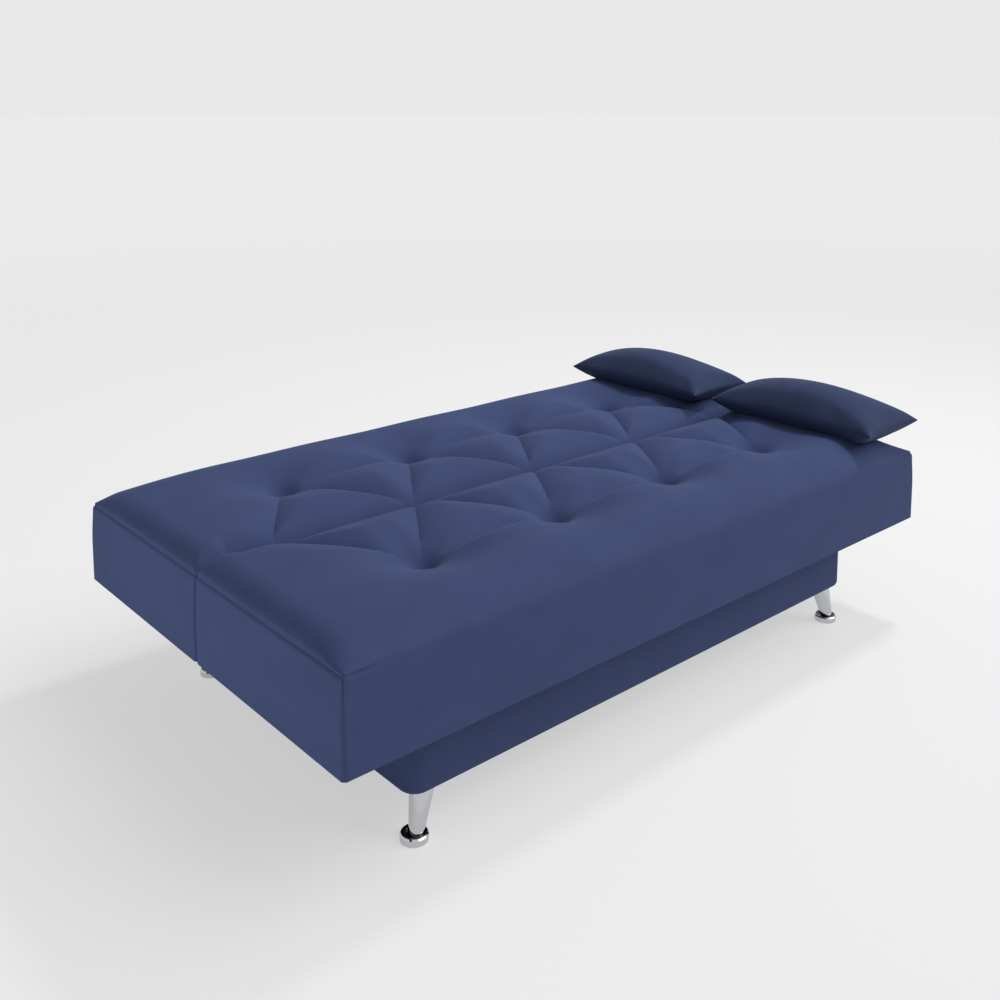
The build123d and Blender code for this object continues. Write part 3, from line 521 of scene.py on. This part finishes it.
def smooth_step(value, low, high):
    """A soft change from 0 to 1."""
    share = np.clip((value - low) / (high - low), 0, 1)
    return share * share * (3 - 2 * share)


def valley_height(x):
    """Height of the split along the bed: low where folds end, higher between, raised over the pins."""
    wave = np.sin(np.pi * x / TUFT_PITCH) ** 2
    over_pins = smooth_step(np.abs(x), PIN_COVER_FROM, PIN_COVER_FULL)
    over_pins -= smooth_step(np.abs(x), HALF_LENGTH - PIN_COVER_END, HALF_LENGTH - BULGE)
    low = VALLEY_Z + VALLEY_RISE * wave
    return low + (PIN_COVER_Z - low) * over_pins


def clear_of_fold(x, depth, top):
    """Holds the shoulders by the split low enough that they just meet when the back is folded up."""
    over_pins = smooth_step(np.abs(x), PIN_COVER_FROM, PIN_COVER_FULL)
    limit = PIVOT_Z - FOLD_CLEAR_MARGIN + FOLD_CLEAR_SLOPE * depth + PIN_COVER_ALLOWANCE * over_pins
    excess = (top - limit) / FOLD_CLEAR_SOFTNESS
    return top - FOLD_CLEAR_SOFTNESS * np.logaddexp(0, excess)


def roll_swell(x, y):
    """Share by which the roll beyond the row of dimples stands up between them, more on the front half."""
    depth = np.abs(y)
    reach = (TUFT_COUNT - 1) / 2 * TUFT_PITCH
    between = np.where(np.abs(x) < reach, np.sin(np.pi * (x + reach) / TUFT_PITCH) ** 2, 0)
    across = np.exp(-((depth - TUFT_ROW - ROLL_PUFF_FROM_ROW) / ROLL_PUFF_SPREAD) ** 2)
    return between * across * np.where(y < 0, 1, BACK_ROLL_SHARE)


def top_height(x, y):
    """Height of the upholstered top: seat half where y is negative, back half where it is positive."""
    depth = np.abs(y)
    from_end = HALF_LENGTH - BULGE - np.abs(x)
    bare_end = (1 - BARE_END_SHARE) * rolled(from_end, BARE_END_FALL)
    bare_end += BARE_END_SHARE * rolled(from_end, BARE_END_SLOPE)
    end = np.where(x > 0, rolled(from_end, PILLOW_END_FALL), bare_end)
    edge = rolled(HALF_DEPTH - BULGE - depth, np.where(y > 0, REAR_FALL, FRONT_FALL))
    crown = SEAM_Z + CROWN * (1 - end) * (1 - edge)
    plan = np.column_stack([x, depth])
    split = np.maximum(crown - valley_height(x), SHALLOWEST_SPLIT)
    dip = np.clip(1 - depth / SPLIT_DIP_WIDTH, 0, 1) ** SPLIT_DIP_POWER
    dip *= 1 - smooth_step(np.abs(x), *SPLIT_DIP_FADE)
    drops = [split * swelling(depth, VALLEY_WIDTH_PER_DEPTH * split), SPLIT_DIP * dip]
    for line in fold_lines():
        distance, share = from_line(plan, line)
        lift = (2 * share - 1) ** 2
        midway = FOLD_DEPTH_MIDWAY if line[1][1] == 0 else ROW_FOLD_DEPTH_MIDWAY
        deep = midway + (FOLD_DEPTH_AT_TUFT - midway) * lift
        drops.append(deep * swelling(distance, FOLD_WIDTH))
    for tuft in tuft_places():
        from_tuft = np.linalg.norm(plan - tuft, axis=1)
        hollow = TUFT_DEPTH * np.exp(-(from_tuft / TUFT_SPREAD) ** 2)
        drops.append(hollow + KNOT_DEPTH * np.exp(-(from_tuft / KNOT_SPREAD) ** 2))
    total = sum(drop ** FOLD_BLEND for drop in drops) ** (1 / FOLD_BLEND)
    puff = PUFF * (1 - end) * (1 - edge) + ROLL_PUFF * roll_swell(x, y)
    return clear_of_fold(x, depth, crown + puff - total)


def grid_places(low, high):
    """Grid lines between two seams: close together by the seams, evenly spaced between."""
    steps = np.array(SEAM_ROWS)
    count = round((high - low - 2 * steps[-1]) / COVER_PITCH)
    middle = np.linspace(low + steps[-1], high - steps[-1], count + 1)
    return np.concatenate([low + steps[:-1], middle, (high - steps[:-1])[::-1]])


def cover_grid(name, xs, depths):
    """A flat sheet whose grid lines lie at the given places."""
    clear_selection()
    bpy.ops.mesh.primitive_grid_add(x_subdivisions=len(xs) - 1, y_subdivisions=len(depths) - 1, size=2)
    piece = start_piece(name)
    places = points_of(piece)
    column = np.rint((places[:, 0] + 1) / 2 * (len(xs) - 1)).astype(int)
    row = np.rint((places[:, 1] + 1) / 2 * (len(depths) - 1)).astype(int)
    places[:, 0] = xs[column]
    places[:, 1] = depths[row]
    move_points(piece, places)
    return piece


def score_folds(piece):
    """Cuts an edge line into the sheet along each fold."""
    for line in fold_lines():
        centres = face_centres(piece)[:, :2]
        distance = from_line(centres, line)[0]
        select_faces(piece, distance < FOLD_STRIP)
        run = np.array(line[1]) - np.array(line[0])
        edit("FACE", bpy.ops.mesh.bisect, plane_co=(*line[0], 0), plane_no=(-run[1], run[0], 0))
    edit_all(bpy.ops.mesh.remove_doubles, threshold=MERGE_DISTANCE)


def drop_sides():
    """Extrudes the active sheet's rim down, one level for each row of the sides."""
    bpy.ops.object.mode_set(mode="EDIT")
    bpy.ops.mesh.select_mode(type="EDGE")
    bpy.ops.mesh.select_all(action="SELECT")
    bpy.ops.mesh.region_to_loop()
    for _ in SIDE_ROWS:
        bpy.ops.mesh.extrude_region_move(TRANSFORM_OT_translate={"value": (0, 0, -1)})
    bpy.ops.object.mode_set(mode="OBJECT")


def shape_cover(piece, side):
    """Moves the sheet's points to the tufted top and the swelling sides."""
    places = points_of(piece)
    x, depth = places[:, 0].copy(), places[:, 1].copy()
    level = np.rint(-places[:, 2]).astype(int)
    end_x = HALF_LENGTH - BULGE
    edge_depth = HALF_DEPTH - BULGE
    top = top_height(x, depth * side)
    from_seam = np.minimum(end_x - np.abs(x), edge_depth - depth)
    sunk = SEAM_SINK * (1 - np.exp(-from_seam / SEAM_REACH))
    top += sunk * smooth_step(depth, 0, SEAM_SINK_FROM_SPLIT)
    down = np.array((0.0,) + SIDE_ROWS)[level]
    share = down / SIDE_ROWS[-1]
    out = BULGE * smooth_step(share, 0, BULGE_FULL_AT) - SEAM_SINK * np.exp(-(down / SEAM_REACH) ** 2)
    at_end = np.abs(x) > end_x - LEVEL
    at_edge = depth > edge_depth - LEVEL
    places[:, 2] = np.where(level == 0, top, top + (UNDERSIDE_Z - top) * share)
    places[:, 0] = np.where(at_end, np.sign(x) * (end_x + out), x)
    places[:, 1] = np.where(at_edge, edge_depth + out, depth)
    centre_x = end_x + out - CORNER_RADIUS
    centre_depth = edge_depth + out - CORNER_RADIUS
    over = np.column_stack([np.abs(places[:, 0]) - centre_x, places[:, 1] - centre_depth])
    reach = np.linalg.norm(over, axis=1)
    turned = (over > 0).all(axis=1) & (reach > CORNER_RADIUS)
    pull = np.where(turned, CORNER_RADIUS / np.maximum(reach, TINY), 1.0)
    places[:, 0] = np.where(turned, np.sign(x) * (centre_x + over[:, 0] * pull), places[:, 0])
    places[:, 1] = np.where(turned, centre_depth + over[:, 1] * pull, places[:, 1])
    at_corner = at_end & at_edge
    places[:, 0] -= np.where(at_corner, np.sign(x) * CORNER_SINK, 0)
    places[:, 1] -= np.where(at_corner, CORNER_SINK, 0)
    round_split_edge(places, depth)
    move_points(piece, places)


def round_split_edge(places, depth):
    """Rounds the upright edges of the ends beside the split."""
    short = np.clip(SPLIT_ROUND - depth, 0, SPLIT_ROUND)
    cut = SPLIT_ROUND - np.sqrt(SPLIT_ROUND ** 2 - short ** 2)
    reach_x = HALF_LENGTH - BULGE - SPLIT_ROUND_REACH
    over = np.clip(np.abs(places[:, 0]) - reach_x, 0, None)
    places[:, 0] -= np.sign(places[:, 0]) * over * cut / SPLIT_ROUND_REACH


def roll_front_edge(piece):
    """Softens the long edge between top and boxing, as foam does under a seam, less towards the corners."""
    places = points_of(piece)
    near_top = places[:, 2] > SEAM_Z - FRONT_ROLL_REACH
    near_edge = places[:, 1] > HALF_DEPTH - FRONT_ROLL_REACH
    for from_end, passes in FRONT_ROLL_STEPS:
        clear = np.abs(places[:, 0]) < HALF_LENGTH - from_end
        select_points(piece, near_top & near_edge & clear)
        edit("VERT", bpy.ops.mesh.vertices_smooth, factor=SMOOTH_FACTOR, repeat=passes)


def open_hinge_pockets(piece):
    """Opens the inner wall where the hinge arms pass."""
    centres = face_centres(piece)
    at_arm = np.abs(np.abs(centres[:, 0]) - ARM_X) < POCKET_HALF_WIDTH
    at_height = (centres[:, 2] > POCKET_BOTTOM) & (centres[:, 2] < POCKET_TOP)
    at_wall = centres[:, 1] < 2 * SPLIT_GAP
    select_faces(piece, at_arm & at_height & at_wall)
    edit("FACE", bpy.ops.mesh.delete, type="FACE")


def tufted_cover(half, side, body):
    """One upholstered half: tufted top, boxing and seams in one skin."""
    xs = grid_places(BULGE - HALF_LENGTH, HALF_LENGTH - BULGE)
    depths = grid_places(SPLIT_GAP, HALF_DEPTH - BULGE)
    piece = cover_grid(half + "_cover", xs, depths)
    score_folds(piece)
    drop_sides()
    shape_cover(piece, side)
    roll_front_edge(piece)
    open_hinge_pockets(piece)
    places = points_of(piece)
    places[:, 1] *= side
    move_points(piece, places)
    face_out()
    give_thickness(piece, COVER_THICKNESS)
    outer = "front" if half == "seat" else "outer"
    borders = [half + "_" + name + "_border" for name in (outer, "inner", "left", "right")]
    dress(piece, body, "navy_suede", half + "_top_pad", *borders)


# Twine and springs

def coil(name, wire, radius, lay, bottom, top):
    """A wound wire or strand about the upright axis, with closed ends."""
    turns = round((top - bottom) / lay)
    clear_selection()
    bpy.ops.mesh.primitive_circle_add(
        vertices=COIL_SIDES, radius=wire, location=(radius, 0, bottom + wire), rotation=(math.pi / 2, 0, 0))
    piece = start_piece(name)
    bpy.ops.object.transform_apply(location=True, rotation=True, scale=True)
    winding = piece.modifiers.new("winding", "SCREW")
    winding.angle = 2 * math.pi * turns
    winding.screw_offset = top - bottom - 2 * wire
    winding.steps = COIL_STEPS * turns
    winding.render_steps = COIL_STEPS * turns
    apply_modifiers(piece)
    edit_all(bpy.ops.mesh.fill_holes, sides=COIL_SIDES)
    return piece


def tuft_twine(half, side, body):
    """Two-strand twine under each dimple, held by a washer under the foam."""
    low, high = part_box(half + "_tuft_ties")
    washer_radius = (high[0] - low[0] - (TUFT_COUNT - 1) * TUFT_PITCH) / 2
    first_x, row = tuft_places()[0]
    pit = top_height(np.array([first_x]), np.array([side * row]))[0]
    top = pit + SEAM_SINK - COVER_THICKNESS - 2 * TWINE_STRAND
    washer_z = low[2] + WASHER_THICKNESS / 2
    piece = coil(half + "_tuft_twine", TWINE_STRAND, TWINE_STRAND, TWINE_LAY, washer_z, top)
    bpy.ops.object.mode_set(mode="EDIT")
    bpy.ops.mesh.select_all(action="SELECT")
    bpy.ops.mesh.duplicate()
    bpy.ops.transform.rotate(value=math.pi, orient_axis="Z", center_override=(0, 0, 0))
    bpy.ops.mesh.primitive_cylinder_add(
        vertices=WASHER_SIDES, radius=washer_radius, depth=WASHER_THICKNESS, location=(0, 0, washer_z))
    bpy.ops.object.mode_set(mode="OBJECT")
    rim = washer_radius * WASHER_RIM_SHARE
    select_edges(piece, lambda start, end: is_level(start, end) and np.hypot(*start[:2]) > rim)
    edit("EDGE", bpy.ops.mesh.bevel, offset=WASHER_EDGE, segments=WASHER_EDGE_STEPS)
    move_points(piece, points_of(piece) + (first_x, side * row, 0))
    bpy.ops.object.mode_set(mode="EDIT")
    bpy.ops.mesh.select_all(action="SELECT")
    for _ in range(TUFT_COUNT - 1):
        bpy.ops.mesh.duplicate_move(TRANSFORM_OT_translate={"value": (TUFT_PITCH, 0, 0)})
    bpy.ops.object.mode_set(mode="OBJECT")
    face_out()
    dress(piece, body, "twine", half + "_tuft_ties")


def pawl_spring(side):
    """Coil spring under a pawl, pressed shorter as the pawl is lifted off its notch."""
    node = "pawl_spring_" + side
    low, high = (np.array(corner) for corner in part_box(node))
    centre = (low + high) / 2
    radius = (high[0] - low[0]) / 2 - SPRING_WIRE
    piece = coil(node + "_coil", SPRING_WIRE, radius, SPRING_LAY, low[2], high[2])
    move_points(piece, points_of(piece) + (centre[0], centre[1], 0))
    face_out()
    dress(piece, "base", "zinc_steel", node)
    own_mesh(piece)


# Pillows

def pillow_sheets(name, low, high):
    """Two flat sheets joined at their rim, in the pillow's plan."""
    counts = [round((high[axis] - low[axis]) / PILLOW_PITCH) for axis in (0, 1)]
    clear_selection()
    bpy.ops.mesh.primitive_grid_add(x_subdivisions=counts[0], y_subdivisions=counts[1], size=2)
    piece = start_piece(name)
    edit_all(bpy.ops.mesh.extrude_region_move, TRANSFORM_OT_translate={"value": (0, 0, 1)})
    return piece


def fill_pillow(piece, low, high):
    """Parts the two sheets as the filling does: ridges from the corners, flat at the rim, sides drawn in."""
    places = points_of(piece)
    across, along = places[:, 0].copy(), places[:, 1].copy()
    upper = places[:, 2] > 0.5
    centre = (low + high) / 2
    half = (high - low) / 2
    full = (1 - across ** 2) ** PILLOW_SIDE_FULLNESS * (1 - along ** 2) ** PILLOW_END_FULLNESS
    places[:, 0] = centre[0] + half[0] * across * (1 - PILLOW_PULL * (1 - along ** 2))
    places[:, 1] = centre[1] + half[1] * along * (1 - PILLOW_PULL * (1 - across ** 2))
    rise = half[2] * full * PILLOW_START_SHARE + PILLOW_START_GAP
    places[:, 2] = centre[2] + np.where(upper, 1, -1) * rise
    move_points(piece, places)


def inflate(piece):
    """Lets the filling press on the cloth, and keeps every point within the cap of where it began."""
    start = points_of(piece)
    cloth = piece.modifiers.new("filling", "CLOTH")
    cloth.settings.quality = PILLOW_CLOTH_QUALITY
    cloth.settings.use_pressure = True
    cloth.settings.uniform_pressure_force = PILLOW_PRESSURE
    cloth.settings.effector_weights.gravity = 0
    cloth.point_cache.frame_start = 1
    cloth.point_cache.frame_end = PILLOW_FRAMES
    for step in range(1, PILLOW_FRAMES + 1):
        bpy.context.scene.frame_set(step)
    apply_modifiers(piece)
    bpy.context.scene.frame_set(1)
    moved = points_of(piece) - start
    length = np.linalg.norm(moved, axis=1)
    share = np.minimum(1, PILLOW_CAP / np.maximum(length, TINY))
    move_points(piece, start + moved * share[:, None])


def rest_on_bed(piece, low, high, travel):
    """Fits the filled pillow to its place and keeps its underside clear of the bed along its travel."""
    places = points_of(piece)
    lowest, highest = places.min(axis=0), places.max(axis=0)
    places = low + (places - lowest) * (high - low) / (highest - lowest)
    along = np.linspace(0, travel, TRAVEL_STEPS)
    heights = [top_height(places[:, 0], places[:, 1] + step) for step in along]
    bed = np.max(heights, axis=0) + PILLOW_REST_GAP
    on_bed = np.abs(places[:, 0]) < HALF_LENGTH - BULGE
    places[:, 2] = np.where(on_bed, np.maximum(places[:, 2], bed), places[:, 2])
    move_points(piece, places)


def pillow(node, travel):
    """One filled pillow."""
    low, high = (np.array(corner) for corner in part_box(node))
    low -= (PILLOW_SPARE, PILLOW_SPARE, PILLOW_SETTLE)
    high += (PILLOW_SPARE, PILLOW_SPARE, 0)
    piece = pillow_sheets(node + "_cover", low, high)
    fill_pillow(piece, low, high)
    face_out()
    inflate(piece)
    edit_all(bpy.ops.mesh.vertices_smooth, factor=SMOOTH_FACTOR, repeat=PILLOW_RELAX)
    rest_on_bed(piece, low, high, travel)
    smooth = piece.modifiers.new("smooth", "SUBSURF")
    smooth.levels = 1
    smooth.render_levels = 1
    apply_modifiers(piece)
    dress(piece, node, "navy_suede", node)
    # The pillows take the darker copy of the suede: painted shade.
    piece.data.materials[0] = PILLOW_SUEDE_PAINTED_SHADE


# Base box and legs

def base_skirt():
    """Covered box under the bed: rounded corners, rolled bottom edge, cloth turned in underneath."""
    left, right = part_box("base_left_cover")[0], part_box("base_right_cover")[1]
    front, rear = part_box("base_front_cover")[0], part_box("base_rear_cover")[1]
    low = np.array((left[0], front[1], front[2]))
    high = np.array((right[0], rear[1], rear[2]))
    clear_selection()
    bpy.ops.mesh.primitive_cube_add(size=1, location=(low + high) / 2, scale=high - low)
    piece = start_piece("base_skirt")
    bpy.ops.object.transform_apply(location=True, rotation=True, scale=True)
    select_faces(piece, face_centres(piece)[:, 2] > high[2] - AT_FACE)
    edit("FACE", bpy.ops.mesh.delete, type="ONLY_FACE")
    select_edges(piece, lambda start, end: abs(start[2] - end[2]) > UPRIGHT_RISE)
    edit("EDGE", bpy.ops.mesh.bevel, offset=BASE_CORNER_RADIUS, segments=BASE_CORNER_STEPS)
    select_edges(piece, lambda start, end: max(start[2], end[2]) < low[2] + AT_FACE)
    edit("EDGE", bpy.ops.mesh.bevel, offset=BASE_BOTTOM_RADIUS, segments=BASE_BOTTOM_STEPS)
    select_faces(piece, largest_bottom(piece, low[2]))
    edit("FACE", bpy.ops.mesh.inset, thickness=BASE_FLANGE - BASE_BOTTOM_RADIUS)
    select_faces(piece, largest_bottom(piece, low[2]))
    edit("FACE", bpy.ops.mesh.delete, type="FACE")
    face_out()
    give_thickness(piece, COVER_THICKNESS)
    covers = ["base_" + side + "_cover" for side in ("front", "rear", "left", "right")]
    dress(piece, "base", "navy_suede", *covers)


def largest_bottom(piece, bottom):
    """Marks the largest level face at the bottom."""
    areas = np.array([face.area for face in piece.data.polygons])
    areas[face_centres(piece)[:, 2] > bottom + AT_FACE] = 0
    return areas == areas.max()


def leg(node):
    """One leaning tapered leg."""
    low, high = (np.array(corner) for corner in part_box(node))
    way = np.sign(low[:2] + high[:2])
    outer = np.maximum(np.abs(low[:2]), np.abs(high[:2]))
    inner = np.minimum(np.abs(low[:2]), np.abs(high[:2]))
    foot = way * (outer - LEG_FOOT_RADIUS)
    top = way * (inner + LEG_TOP_RADIUS)
    clear_selection()
    bpy.ops.mesh.primitive_cone_add(
        vertices=LEG_SIDES, radius1=LEG_FOOT_RADIUS, radius2=LEG_TOP_RADIUS, depth=high[2] - low[2])
    piece = start_piece(node + "_shell")
    middle = (low[2] + high[2]) / 2
    places = points_of(piece)
    share = (places[:, 2] + middle - low[2]) / (high[2] - low[2])
    places[:, :2] += foot + share[:, None] * (top - foot)
    places[:, 2] += middle
    move_points(piece, places)
    select_edges(piece, is_level)
    edit("EDGE", bpy.ops.mesh.bevel, offset=LEG_EDGE, segments=LEG_EDGE_STEPS)
    dress(piece, "base", "chrome_plate", node)


tufted_cover("seat", -1, "base")
tufted_cover("back", 1, "back")
tuft_twine("seat", -1, "base")
tuft_twine("back", 1, "back")
pawl_spring("left")
pawl_spring("right")
pillow("seat_pillow", 0)
pillow("back_pillow", BACK_PILLOW_TRAVEL)
base_skirt()
for corner in ("front_left", "front_right", "rear_left", "rear_right"):
    leg("leg_" + corner)
finish_frame_nodes()

# Floor, backdrop, light and camera

FLOOR_SIZE = 400
FLOOR_COLOUR = "#f6f6f6"
FLOOR_GLOW_COLOUR = "#f8f8f8"
FLOOR_OWN_LIGHT = 0.59
FAR_OWN_LIGHT = 0.72
LAMPS_REACH = (2.5, 12.0)
BACKDROP_COLOUR = "#e9e9e9"
WORLD_STRENGTH = 0.25
SKY_STRENGTH = 1.45
SKY_SPREAD = math.radians(50)
SKY_TOWARDS = (0.5, -0.5, 0.78)

# Each lamp: its name, its place, what it is aimed at, its width, its height and its strength
LAMPS = (
    ("lamp_beyond_pillows", (2.57, -0.11, 4.13), (0.2, 0, 0.4), 0.5, 0.5, 68),
    ("floor_bounce", (-1.95, 0, 0.004), (-1.95, 0, 1), 1.4, 1.4, 11),
)


def seen_rays(tree):
    """One for the rays that show the background: seen by the camera, mirrored or through glass."""
    rays = add_node(tree, "ShaderNodeLightPath")
    camera, glossy = rays.outputs["Is Camera Ray"], rays.outputs["Is Glossy Ray"]
    pair = add_node(tree, "ShaderNodeMath", links={0: camera, 1: glossy}, operation="MAXIMUM")
    through = rays.outputs["Is Transmission Ray"]
    seen = add_node(tree, "ShaderNodeMath", links={0: pair.outputs[0], 1: through}, operation="MAXIMUM")
    return seen.outputs[0]


def pale_stage():
    """A pale floor that runs on to the horizon, keeps the shadow and has more light of its own far out."""
    clear_selection()
    bpy.ops.mesh.primitive_plane_add(size=FLOOR_SIZE)
    floor = start_piece("floor")
    material, tree, output, place = new_material("pale_floor")
    lit = add_node(tree, "ShaderNodeBsdfDiffuse", {"Color": linear(FLOOR_COLOUR)})
    glow = add_node(tree, "ShaderNodeEmission", {"Color": linear(FLOOR_GLOW_COLOUR), "Strength": 1.0})
    out = add_node(tree, "ShaderNodeVectorMath", links={0: place}, operation="LENGTH")
    own = add_node(
        tree, "ShaderNodeMapRange",
        {"From Min": LAMPS_REACH[0], "From Max": LAMPS_REACH[1],
         "To Min": FLOOR_OWN_LIGHT, "To Max": FAR_OWN_LIGHT},
        {"Value": out.outputs["Value"]}, interpolation_type="SMOOTHSTEP",
    )
    share = add_node(tree, "ShaderNodeMath", links={0: seen_rays(tree), 1: own.outputs["Result"]},
                     operation="MULTIPLY")
    seen = add_node(tree, "ShaderNodeMixShader",
                    links={0: share.outputs[0], 1: lit.outputs[0], 2: glow.outputs[0]})
    close_material(tree, output, seen)
    floor.data.materials.append(material)


def world_light():
    """Even white light from all round, and the pale backdrop."""
    world = bpy.data.worlds.new("studio")
    bpy.context.scene.world = world
    world.use_nodes = True
    tree = world.node_tree
    tree.nodes.clear()
    output = add_node(tree, "ShaderNodeOutputWorld")
    even = add_node(tree, "ShaderNodeBackground", {"Color": linear("#ffffff"), "Strength": WORLD_STRENGTH})
    backdrop = add_node(tree, "ShaderNodeBackground", {"Color": linear(BACKDROP_COLOUR), "Strength": 1.0})
    shown = add_node(tree, "ShaderNodeMixShader",
                     links={0: seen_rays(tree), 1: even.outputs[0], 2: backdrop.outputs[0]})
    tree.links.new(shown.outputs[0], output.inputs["Surface"])


def lamp(name, place, aim, width, height, energy):
    """A flat lamp that only lights."""
    light = bpy.data.lights.new(name, "AREA")
    light.shape = "RECTANGLE"
    light.size = width
    light.size_y = height
    light.energy = energy
    holder = bpy.data.objects.new(name, light)
    holder.location = place
    holder.rotation_euler = (Vector(aim) - holder.location).to_track_quat("-Z", "Y").to_euler()
    holder.visible_camera = False
    holder.visible_glossy = False
    bpy.context.scene.collection.objects.link(holder)


def soft_sky():
    """Broad soft light from the front and the pillow end, as from a large lit ceiling."""
    light = bpy.data.lights.new("soft_sky", "SUN")
    light.energy = SKY_STRENGTH
    light.angle = SKY_SPREAD
    holder = bpy.data.objects.new("soft_sky", light)
    holder.rotation_euler = (-Vector(SKY_TOWARDS)).to_track_quat("-Z", "Y").to_euler()
    bpy.context.scene.collection.objects.link(holder)


CAMERA_PLACE = (-1.9076, -2.0571, 1.4161)
CAMERA_YAW = 0.7183
CAMERA_PITCH = 0.1265
CAMERA_SENSOR = 36.0
CAMERA_LENS = 1.10825 * CAMERA_SENSOR
CAMERA_SHIFT = -0.25


def photograph_camera():
    """Camera at the photograph's viewing angle."""
    camera = bpy.data.cameras.new("camera")
    camera.sensor_width = CAMERA_SENSOR
    camera.lens = CAMERA_LENS
    camera.shift_y = CAMERA_SHIFT
    holder = bpy.data.objects.new("camera", camera)
    holder.location = CAMERA_PLACE
    holder.rotation_euler = (math.pi / 2 - CAMERA_PITCH, 0, -CAMERA_YAW)
    bpy.context.scene.collection.objects.link(holder)
    bpy.context.scene.camera = holder


pale_stage()
world_light()
for values in LAMPS:
    lamp(*values)
soft_sky()
photograph_camera()
bpy.context.scene.view_settings.view_transform = "Standard"
clear_selection()
